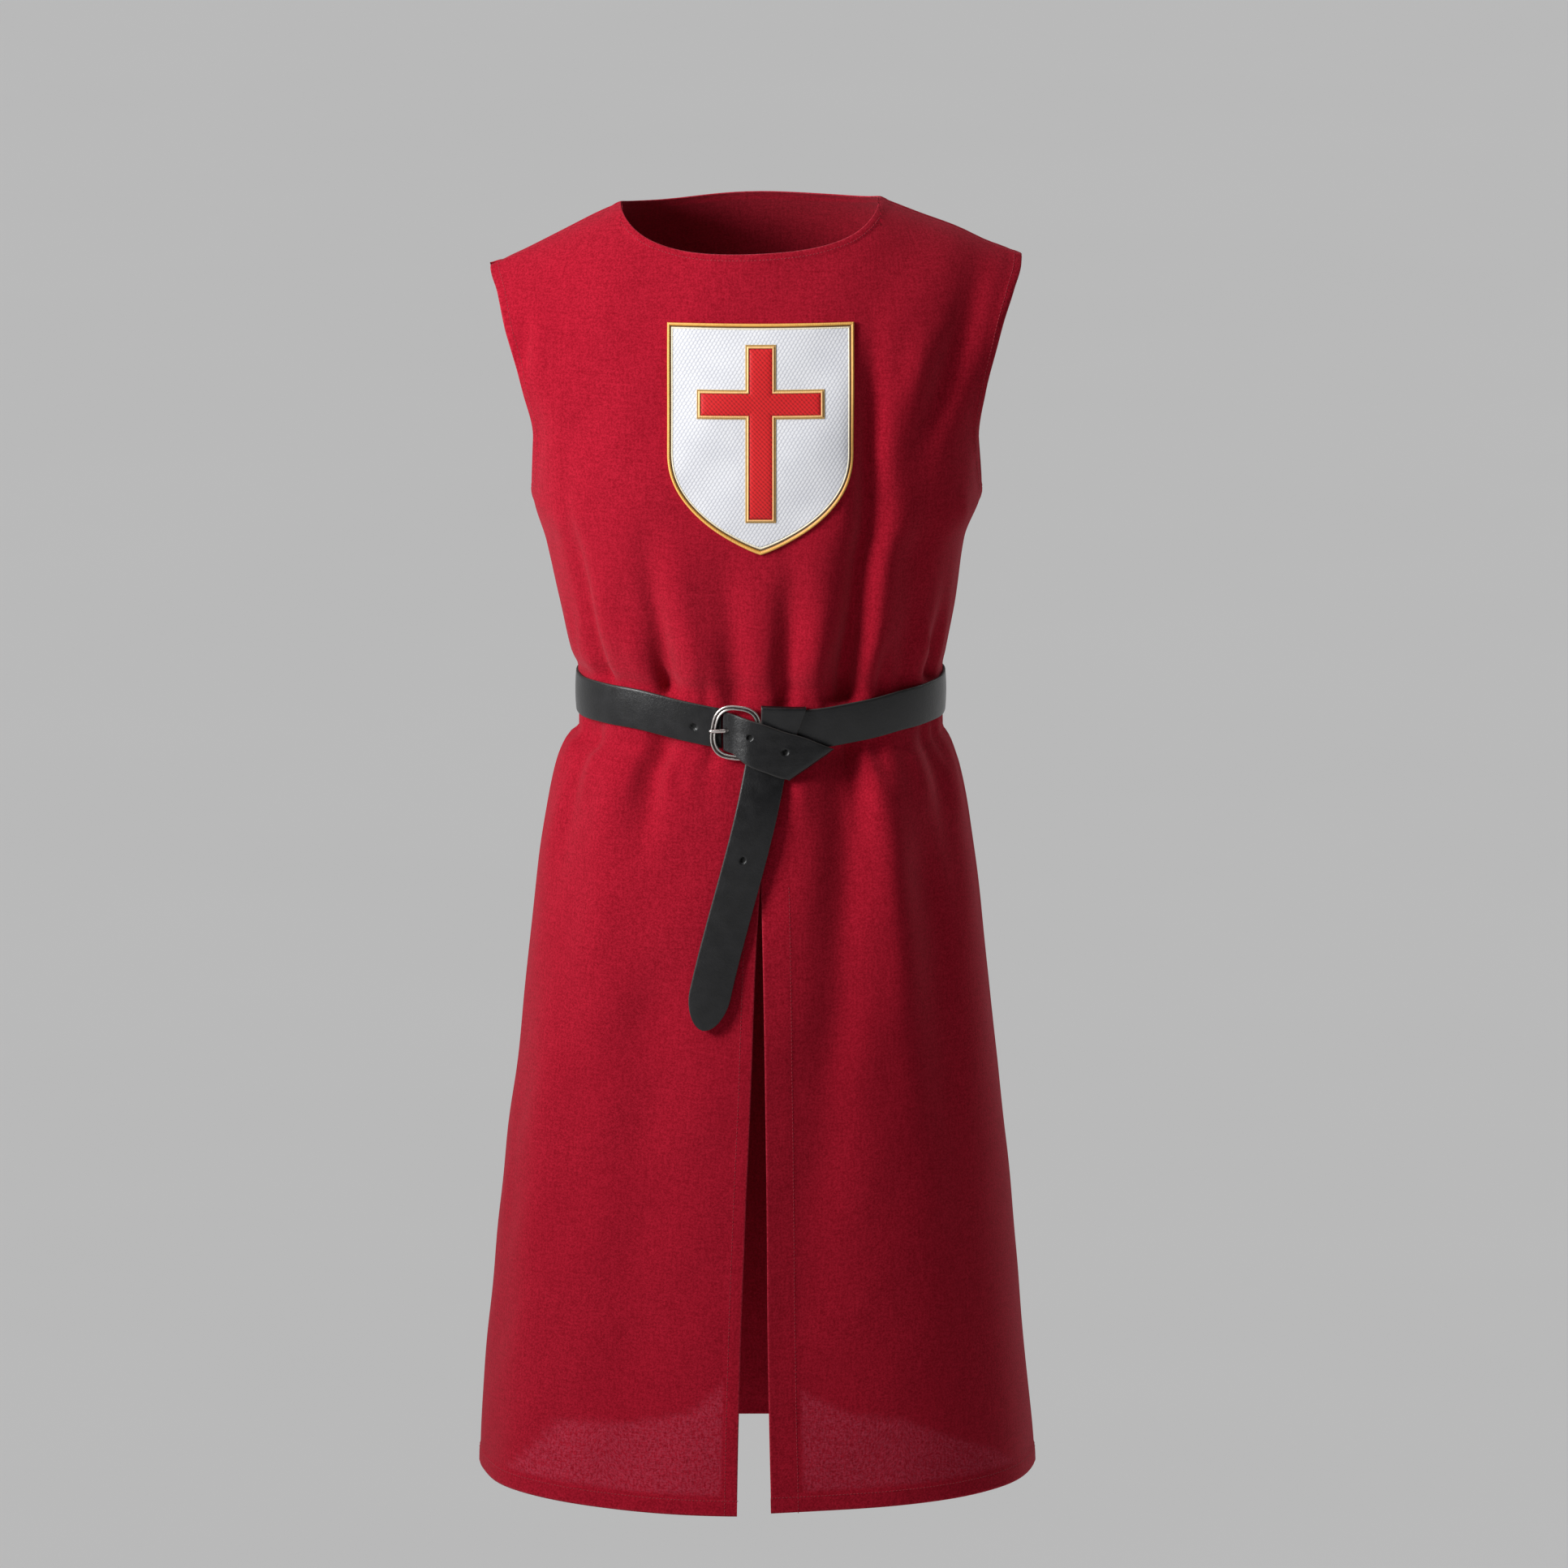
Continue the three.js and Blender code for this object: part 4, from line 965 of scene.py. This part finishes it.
seam_rows = [stitch_row(*sheet.stitching(edge, from_end)) for sheet, edge, from_end in (
    (left_sheet, "neck", False), (left_sheet, "hem", True), (right_sheet, "neck", False),
    (right_sheet, "hem", True), (back_sheet, "neck", False), (back_sheet, "hem", True),
    (left_sheet, "armhole", False), (right_sheet, "armhole", True),
    (left_sheet, "slit", True), (right_sheet, "slit", False))]
thread = finish_piece(stitches("hem_stitching", seam_rows), sewing_thread(), "red_cloth")

# ---- shield patch

SHIELD = {"centre": 4, "half": 84, "top": -91.5, "shoulder": -205, "drop": 94,
          "curve": 1.15, "fullness": 0.45, "rise": 1.35}
CROSS = {"top": -110, "bottom": -268.5, "arm_top": -149, "arm_bottom": -174.5,
         "half": 13.5, "arm_half": 57}
BORDER = 5.1
GROUND_LIFT = 1.8


def on_front(x, z, lift):
    """Points that lie on the front cloth, moved out by a lift."""
    point, normal, angle = over_form(FRONT, x, z)
    return moved(point, normal, relief(FRONT, angle, x, z) + lift)


def shield_bottom(a, margin):
    """Lower edge, inset by a margin: shoulder - (drop - rise * margin) * (1 - |a|^curve)^fullness,
    where a runs from -1 to 1."""
    fall = np.maximum(1 - np.abs(a) ** SHIELD["curve"], 0) ** SHIELD["fullness"]
    return SHIELD["shoulder"] - (SHIELD["drop"] - SHIELD["rise"] * margin) * fall


def shield_ground():
    """Straight columns from the top edge to the curved lower edge, inside the border."""
    a = np.sin(np.radians(np.linspace(-90, 90, 85)))[None, :]
    t = np.linspace(0, 1, 100)[:, None]
    x = SHIELD["centre"] + (SHIELD["half"] - BORDER) * a + 0 * t
    z = mix(SHIELD["top"] - BORDER, shield_bottom(a, BORDER), t)
    ids = np.arange(x.size).reshape(x.shape)
    return thicken(new_piece("shield_embroidery", on_front(x, z, GROUND_LIFT), grid_quads(ids)),
                   "patch", 1.0)


def shield_loop(margin):
    """Outline of the shield inset by each margin, anticlockwise from its upper left corner."""
    margin = np.asarray(margin, float)[None, :]
    half_width, top = SHIELD["half"] - margin, SHIELD["top"] - margin
    side = np.arange(220)[:, None] / 220
    upper = np.arange(1, 320)[:, None] / 320
    a = np.sin(np.radians(np.linspace(-90, 90, 560)))[:, None]
    x = [0 * side - half_width, half_width * a, half_width + 0 * side,
         mix(half_width, -half_width, upper)]
    z = [mix(top, SHIELD["shoulder"], side), shield_bottom(a, margin),
         mix(SHIELD["shoulder"], top, side + 1 / 220), top + 0 * upper]
    return SHIELD["centre"] + np.concatenate(x), np.concatenate(z)


def cross_loop(margin):
    """Outline of the cross grown by each margin, anticlockwise from the front, with the same
    steps on each edge for every margin."""
    margin = np.asarray(margin, float)
    stem, arm = CROSS["half"] + margin, CROSS["arm_half"] + margin
    top, bottom = CROSS["top"] + margin, CROSS["bottom"] - margin
    high, low = CROSS["arm_top"] + margin, CROSS["arm_bottom"] - margin
    corners = np.array([
        [-stem, top], [-stem, high], [-arm, high], [-arm, low], [-stem, low], [-stem, bottom],
        [stem, bottom], [stem, low], [arm, low], [arm, high], [stem, high], [stem, top]])
    after = np.roll(corners, -1, 0)
    plain = np.argmin(np.abs(margin))
    lengths = np.linalg.norm((after - corners)[:, :, plain], axis=1)
    xs, zs = [], []
    for here, there, steps in zip(corners, after, (lengths / 0.55).astype(int)):
        t = (np.arange(steps) / steps)[:, None]
        xs.append(SHIELD["centre"] + mix(here[0], there[0], t))
        zs.append(mix(here[1], there[1], t))
    return np.concatenate(xs), np.concatenate(zs)


TWIST = 0.05
WINDING_LEAN = 0.9


def cord_band(name, loop, margins, heights, base, pitch):
    """A band of cords carried round a loop. Margins and heights give its profile from its
    outer to its inner side, and each ridge swells and shrinks along the loop as it twists."""
    x, z = loop(margins)
    margins = np.array(margins, float)
    along = arc_lengths(np.stack([x, z, 0 * x], -1), 0)[:, :1]
    swell = 1 + TWIST * np.sin(2 * np.pi * (along + WINDING_LEAN * margins) / pitch)
    points = on_front(x, z, base + np.array(heights) * swell)
    under = on_front(x[:, [-1, 0]], z[:, [-1, 0]], base - 0.5)
    points = np.concatenate([points, under], 1)
    across = np.abs(margins - margins[0])
    uv = np.stack(np.broadcast_arrays(along, np.r_[across, across[-1], 0]), -1)
    return new_piece(name, points, ring_quads(points.shape[:2]), uv)


def cross_fill():
    """Cells of a fine grid that lie on the stem or the arms, crowned towards their outline."""
    inset = 3.3
    stem, arm = CROSS["half"] - inset, CROSS["arm_half"] - inset
    top, bottom = CROSS["top"] - inset, CROSS["bottom"] + inset
    arm_top, arm_bottom = CROSS["arm_top"] - inset, CROSS["arm_bottom"] + inset

    def inside(x, z):
        """Distance inside the stem or the arms, whichever is more."""
        return np.maximum(
            np.minimum(stem - np.abs(x), np.minimum(top - z, z - bottom)),
            np.minimum(arm - np.abs(x), np.minimum(arm_top - z, z - arm_bottom)))

    xs = np.r_[stretch(-arm, -stem, 34), stretch(-stem, stem, 18, 0.6), stretch(stem, arm, 34),
               arm]
    zs = np.r_[stretch(top, arm_top, 30), stretch(arm_top, arm_bottom, 18, 0.6),
               stretch(arm_bottom, bottom, 70), bottom]
    x, z = np.meshgrid(xs, zs)
    crown = 0.8 * (1 - np.exp(-np.maximum(inside(x, z), 0) / 1.6))
    points = on_front(SHIELD["centre"] + x, z, GROUND_LIFT + 0.5 + crown)
    kept = inside(*np.meshgrid((xs[:-1] + xs[1:]) / 2, (zs[:-1] + zs[1:]) / 2)) > 0
    used, numbers = np.unique(grid_quads(np.arange(x.size).reshape(x.shape))[kept.ravel()],
                              return_inverse=True)
    piece = new_piece("cross_embroidery", points.reshape(-1, 3)[used], numbers.reshape(-1, 4))
    return thicken(piece, "stitches", 0.5)


GOLD, PALE_GOLD = (0.66, 0.28, 0.035), (0.92, 0.52, 0.12)
# The dark stop between the gold and the cream is painted shade in the groove between the gold
# ridge and the cream cord.
OLIVE_GROOVE_SHADE, CREAM = (0.11, 0.055, 0.010), (0.93, 0.86, 0.66)

ground = finish_piece(shield_ground(), white_embroidery(), "white_embroidery", "shield_ground")
border = finish_piece(cord_band(
    "shield_cord", shield_loop,
    [0, 0.25, 0.8, 1.5, 2.2, 2.8, 3.1, 3.6, 3.95, 4.25, 4.7, 5.15, 5.4],
    [0.1, 1.1, 1.95, 2.25, 1.95, 1.1, 0.7, 0.7, 0.8, 1.35, 1.6, 1.4, 0.9],
    0.7, 2.3),
    gold_cord("gold_border_cord", [(0.0, GOLD), (0.10, PALE_GOLD), (0.26, PALE_GOLD), (0.37, GOLD),
                                   (0.43, OLIVE_GROOVE_SHADE), (0.53, OLIVE_GROOVE_SHADE), (0.60, CREAM), (0.8, CREAM)]),
    "gold_cord", "shield_border")
outline = finish_piece(cord_band(
    "cross_cord", cross_loop,
    [0.35, 0.2, -0.15, -0.5, -0.9, -1.2, -1.5, -2.0, -2.5, -3.0, -3.3],
    [0.0, 0.45, 0.6, 0.5, 0.4, 0.5, 1.05, 1.4, 1.35, 0.95, 0.3],
    GROUND_LIFT + 0.05, 2.1),
    # The last two, dark red stops are a painted shadow along the cord's inner side, next to the
    # red fill.
    gold_cord("gold_outline_cord", [(0.0, (0.62, 0.44, 0.18)), (0.07, (0.50, 0.30, 0.09)),
                                    (0.17, (0.30, 0.17, 0.04)), (0.21, (0.88, 0.50, 0.16)),
                                    (0.30, (0.96, 0.62, 0.27)), (0.44, (0.92, 0.50, 0.17)),
                                    (0.48, (0.35, 0.03, 0.01)), (0.6, (0.30, 0.01, 0.01))]),
    "gold_cord", "cross_edge")
cross = finish_piece(cross_fill(), red_embroidery(), "red_embroidery", "cross_fill")

# ---- belt

leather = black_leather()
STRAP_ENDS = {"left": -31, "right": 9}
# Stations of two short stretches: x and z of one edge, x and z of the other, and lift.
FOLD_OVER = [
    (-30.4, -446.5, -30, -483, 0.6), (-29.6, -446.6, -29.2, -483.2, 3.4),
    (-25.5, -447.4, -25.5, -484.6, 4.6), (-19, -449.2, -20, -486.4, 6.2),
    (-11, -451.4, -14.5, -491.5, 9.8), (-3, -453.8, -8, -496, 12.2), (8, -457, 1, -500.2, 12.6),
    (24, -463.5, 12, -504.6, 11.4), (46, -472, 21, -507.8, 10.4), (64, -480.8, 27.2, -509, 9.4),
    (68.6, -482.8, 29.2, -510, 7.2), (69.4, -483.2, 29.6, -510.2, 4.4),
]
LOOP = [
    (4.4, -441.9, 44.6, -443.4, 2.2), (4.4, -441.6, 44.6, -443.2, 4.4),
    (4.4, -443.6, 44.2, -445, 6.2), (4.4, -450, 42, -452, 6.6), (4.4, -458, 39, -461, 6.3),
    (4.4, -474, 33, -476, 6), (4.4, -490, 28, -490, 6),
]
TAIL = {"x": 9, "z": -495, "lean": 10, "bend": 5, "length": 248, "point": 32, "lift": 7}
BUCKLE = {"x": -18.3, "z": -466, "half_width": 20.6, "half_height": 24.2, "square": 2.7,
          "tilt": -7, "lift": 4.9}
# The section of the buckle's bar: how far out, how far up, and how bright its colour is painted
# there: worn and painted highlight on its ridges, painted shade in its groove.
BUCKLE_BAR = np.array([
    [1.75, 0.1, 0.5], [1.55, 0.9, 0.9], [1.1, 1.5, 1], [0.5, 1.6, 0.8], [-0.15, 1, 0.25],
    [-0.8, 0.1, 0], [-1.5, 0.7, 0.4], [-2.2, 1.2, 1], [-2.7, 1.1, 0.9], [-3.05, 0.6, 0.6],
    [-3.2, 0, 0.3], [-2.9, -0.8, 0.1], [-2, -1.3, 0], [-0.7, -1.4, 0], [0.6, -1.3, 0],
    [1.45, -0.7, 0.2]])
TONGUE = {"root": -41.6, "tip": -24.5, "z": -464.6, "rise": 0.8, "radius": 1.95, "lift": 8.1,
          "bow": 0.9, "dip": 2.6, "fall": 1.2, "flat": 0.75}
# black is the pit depth at which a hole's painted shade is full.
HOLE = {"radius": 2.65, "deep": 2.0, "rim": 0.12, "black": 1.2}


def over_belt(x, z, lift):
    """Points that stand off the form behind the belt's loose pieces, which is the mean of five
    levels 11 mm apart, so that stiff leather bridges the pinch at the waist."""
    near = [over_form(FRONT, x, z + shift) for shift in (-22, -11, 0, 11, 22)]
    y = sum(point[..., 1] for point, _, _ in near) / len(near)
    normal = unit(sum(normal for _, normal, _ in near))
    return moved(np.stack(np.broadcast_arrays(x, y, z), -1), normal, lift)


def strap_profile(step, crown):
    """Across, up and upper side of a strap's outline, from one edge over the top and back
    below. Its edges are rounded by a quarter circle, and its middle stands up by the crown."""
    rounding, reach = 1.0, BELT["width"] / 2
    inner = np.linspace(rounding - reach, reach - rounding, int(BELT["width"] / step))
    edge = np.array([0.0, 0.12, 0.4])
    top = np.r_[edge - reach, inner, (reach - edge)[::-1]]
    near = np.minimum(reach - np.abs(top), rounding)
    up = BELT["thick"] / 2 - rounding + np.sqrt(
        np.maximum(rounding ** 2 - (rounding - near) ** 2, 0))
    across, up = np.r_[top, top[::-1]], np.r_[up, -up[::-1]]
    return across, up + crown * (1 - (across / reach) ** 2), up > 0


def dents(x, z, holes):
    """Depth of the punched holes: a pit with a soft rim."""
    depth = np.zeros(x.shape)
    for hole_x, hole_z in holes:
        away = np.hypot(x - hole_x, z - hole_z) - HOLE["radius"]
        pit, rim = 1 - ease(away / 0.7 + 0.5), bell(away - 0.9, 0.6)
        depth = np.maximum(depth, pit * HOLE["deep"] - rim * HOLE["rim"])
    return depth


def strap_mesh(name, points, across, on_top, sunk):
    """A closed strap from rings of points, marked where it is cut and where painted shade darkens
    it: its holes, and the strap inside the buckle's ring.
    """
    along = arc_lengths(points, 0)[:, len(across) // 4, None]
    edge = ease(1.2 - (BELT["width"] / 2 - np.abs(across)) / 0.9) + 0 * along
    wrap = np.where(on_top, across, BELT["width"] + 4 - across)
    return new_piece(name, points, tube_quads(points.shape[:2]),
                     np.stack(np.broadcast_arrays(along, wrap), -1), {"edge": edge, "sunk": sunk})


def belt_round_waist():
    """The strap carried round the waist from its left end in front, behind, and to its right
    end: form point at the belt's level, moved out, with the strap's width set upright."""
    ends = [angle_at(STRAP_ENDS[end], BELT["level"]) for end in ("left", "right")]
    stretches = [(FRONT, np.linspace(ends[0], -90, 150)[:-1]),
                 (BACK, np.linspace(-90, 90, 300)[:-1]), (FRONT, np.linspace(90, ends[1], 190))]
    parts = []
    for panel, angles in stretches:
        level = np.full(len(angles), float(BELT["level"]))
        parts.append((*form(panel, angles, np.ones(len(angles)), level),
                      level - belt_dip(panel, angles)))
    base, normal, middle = (np.concatenate(part) for part in zip(*parts))
    normal = unit(normal * np.array([1, 1, 0]))
    across, up, on_top = strap_profile(1.3, BELT["crown"])
    turn = np.linspace(0, 1, len(middle))
    soft = 0.25 * np.sin(40 * turn) + 0.2 * np.sin(91 * turn)
    z = (middle + soft)[:, None] + across
    x = base[:, :1] + 0 * across
    outside = (base[:, 1:2] < 0) & on_top
    depth = dents(x, z, [(-55.9, -461.5)]) * outside
    points = moved(base[:, None], normal[:, None], BELT["lift"] + BELT["thick"] / 2 + up - depth)
    points[..., 2] = z
    # Painted shade on the strap inside the buckle's ring, where it runs under the frame, joined
    # with the holes' painted shade.
    ring_hollow_painted_shade = ease((x + 40) / 6) * ease((-24 - x) / 6) * outside
    sunk = np.maximum(np.clip(depth / HOLE["black"], 0, 1), ring_hollow_painted_shade * 0.9)
    return strap_mesh("belt_round_waist", points, across, on_top, sunk)


def through(stations, per_step):
    """A smooth run through rows of numbers: cubic pieces whose slopes are the mean of both
    sides."""
    rows = np.array(stations, float)
    slopes = np.gradient(rows, axis=0)
    at = np.linspace(0, len(rows) - 1, (len(rows) - 1) * per_step + 1)
    i = np.minimum(at.astype(int), len(rows) - 2)
    return cubic(rows, slopes, i, (at - i)[:, None])


def strap_over_front(name, stations, holes, step, crown):
    """A strap whose two edges and lift are given at each station; between them it is straight
    across, a little crowned, and it follows the smooth form."""
    across, up, on_top = strap_profile(step, crown)
    t = across / BELT["width"] + 0.5
    x0, z0, x1, z1, lift = (column[:, None] for column in stations.T)
    x, z = mix(x0, x1, t), mix(z0, z1, t)
    depth = dents(x, z, holes) * on_top
    points = over_belt(x, z, lift - BELT["thick"] / 2 + up - depth)
    # The holes' pits are marked for painted shade.
    return strap_mesh(name, points, across, on_top, np.clip(depth / HOLE["black"], 0, 1))


def tail_stations(count):
    """The hanging end: its middle line leans over as it falls, and its tip narrows to a point
    as sqrt(1 - t^1.7)."""
    main = TAIL["length"] - TAIL["point"]
    along = np.r_[stretch(0, main, count), main + TAIL["point"] * np.linspace(0, 1, 40) ** 0.6]
    lean = np.radians(TAIL["lean"] + TAIL["bend"] * np.sin(np.pi * along / TAIL["length"]))
    steps = np.diff(along, prepend=0)
    x = TAIL["x"] - np.cumsum(steps * np.sin(lean))
    z = TAIL["z"] - np.cumsum(steps * np.cos(lean))
    tip = np.maximum((along - main) / TAIL["point"], 0)
    wide = BELT["width"] / 2 * np.sqrt(np.maximum(1 - tip ** 1.7, 0.002))
    lift = mix(5.6, TAIL["lift"], ease(along / 60)) + 0.5 * np.sin(along / 30)
    return np.stack([x - wide * np.cos(lean), z + wide * np.sin(lean),
                     x + wide * np.cos(lean), z - wide * np.sin(lean), lift], -1)


def buckle_ring():
    """The frame: a squared oval ring, tilted, whose bar has two bevels with a shallow groove
    between them."""
    turn = np.linspace(0, 2 * np.pi, 220, endpoint=False)[:, None]
    grow, up, ridge = BUCKLE_BAR.T
    across = signed_power(np.cos(turn), 2 / BUCKLE["square"]) * (BUCKLE["half_width"] + grow)
    high = signed_power(np.sin(turn), 2 / BUCKLE["square"]) * (BUCKLE["half_height"] + grow)
    cos, sin = np.cos(np.radians(BUCKLE["tilt"])), np.sin(np.radians(BUCKLE["tilt"]))
    points = over_belt(BUCKLE["x"] + across * cos - high * sin,
                       BUCKLE["z"] + across * sin + high * cos, BUCKLE["lift"] + up)
    return new_piece("buckle_ring", points, ring_quads(across.shape, True), None,
                     {"ridge": np.broadcast_to(ridge, across.shape)})


def buckle_tongue():
    """The tongue: rings of a slightly flat wire that rest on the frame's outer arc, bow up by
    sin(pi t), and dip into the strap's hole at the tip."""
    t = np.linspace(0, 1, 40)[:, None]
    turn = np.arange(12) * np.pi / 6
    wide = TONGUE["radius"] * np.sqrt(np.clip(t / 0.12, 0.05, 1)) * mix(0.85, 1.1, t)
    z = TONGUE["z"] + wide * np.cos(turn) + TONGUE["rise"] * t
    lift = (TONGUE["lift"] - TONGUE["fall"] * t + TONGUE["bow"] * np.sin(np.pi * t)
            - TONGUE["dip"] * ease((t - 0.8) / 0.2) + wide * TONGUE["flat"] * np.sin(turn))
    points = over_belt(mix(TONGUE["root"], TONGUE["tip"], t) + 0 * z, z, lift)
    # The tongue's outer side is painted bright: wear and a painted highlight.
    ridge = ease(np.sin(turn) + 0.2) + 0 * t
    return new_piece("buckle_tongue", points, tube_quads(points.shape[:2], True), None,
                     {"ridge": ridge})


straps = {"belt_strap": belt_round_waist(),
          "belt_fold": strap_over_front("belt_band", through(FOLD_OVER, 14),
                                        [(-5.6, -469.5), (25.6, -484)], 0.7, 1.0),
          "belt_loop": strap_over_front("belt_loop_over", through(LOOP, 8), [], 1.2, 0.7),
          "belt_tail": strap_over_front("belt_hanging_end", tail_stations(190),
                                        [(-12, -580)], 1.0, 0.9)}
for node, strap in straps.items():
    finish_piece(strap, leather, "black_leather", node)
nickel = aged_nickel()
finish_piece(buckle_ring(), nickel, "aged_nickel", "buckle_frame")
finish_piece(buckle_tongue(), nickel, "aged_nickel", "buckle_prong")

# ---- floor, lights and camera

CAMERA = {"distance": 30.0, "elevation": 14, "target": (0.025, 0, -0.5424), "sensor": 36}
FRAME_WIDTH = 1.42
FLOOR_LEVEL = -2.2
FLOOR_HALF = 80

corners = np.array([[-1, -1, 0], [1, -1, 0], [1, 1, 0], [-1, 1, 0]]) * FLOOR_HALF
floor = new_piece("studio_floor", (corners + [0, 0, FLOOR_LEVEL]) / MM, [[0, 1, 2, 3]])
floor.data.materials.append(studio_paper())


def in_studio(name, data, place, rotation):
    """A camera or a lamp at a place, turned from looking straight down."""
    thing = bpy.data.objects.new(name, data)
    bpy.context.scene.collection.objects.link(thing)
    thing.location, thing.rotation_euler = place, rotation
    return thing


def soft_sun(name, azimuth, elevation, strength, spread):
    """A sun as wide as a large softbox. Azimuth runs from the front towards the viewer's right."""
    light = bpy.data.lights.new(name, "SUN")
    light.energy, light.angle = strength, np.radians(spread)
    in_studio(name, light, (0, 0, 0), np.radians((90 - elevation, 0, azimuth)))


def softbox(name, place, target, size, watts, spread):
    """A square area light that faces a target."""
    light = bpy.data.lights.new(name, "AREA")
    light.size, light.energy, light.spread = size, watts, np.radians(spread)
    x, y, z = np.subtract(target, place)
    in_studio(name, light, place, (np.pi / 2 + np.arctan2(z, np.hypot(x, y)), 0,
                                   np.arctan2(y, x) - np.pi / 2))


view = np.radians(CAMERA["elevation"])
lens = bpy.data.cameras.new("camera")
lens.sensor_width = CAMERA["sensor"]
lens.lens = CAMERA["sensor"] * CAMERA["distance"] / FRAME_WIDTH
lens.clip_end = 400
away = CAMERA["distance"] * np.array([0, -np.cos(view), np.sin(view)])
bpy.context.scene.camera = in_studio("camera", lens, CAMERA["target"] + away,
                                     (np.pi / 2 - view, 0, 0))
soft_sun("key", -62, 34, 1.8, 24)
softbox("chest_light", (-1.9, -1.15, 0.4), (0, -0.1, -0.1), 0.7, 6.2, 60)
soft_sun("top", 0, 89, 0.45, 30)
soft_sun("back", 140, 24, 0.7, 24)
world = bpy.data.worlds.new("studio")
world.use_nodes = True
sky = world.node_tree.nodes["Background"].inputs
sky["Color"].default_value, sky["Strength"].default_value = (1, 1, 1, 1), 0.09
bpy.context.scene.world = world
bpy.context.scene.view_settings.view_transform = "Standard"
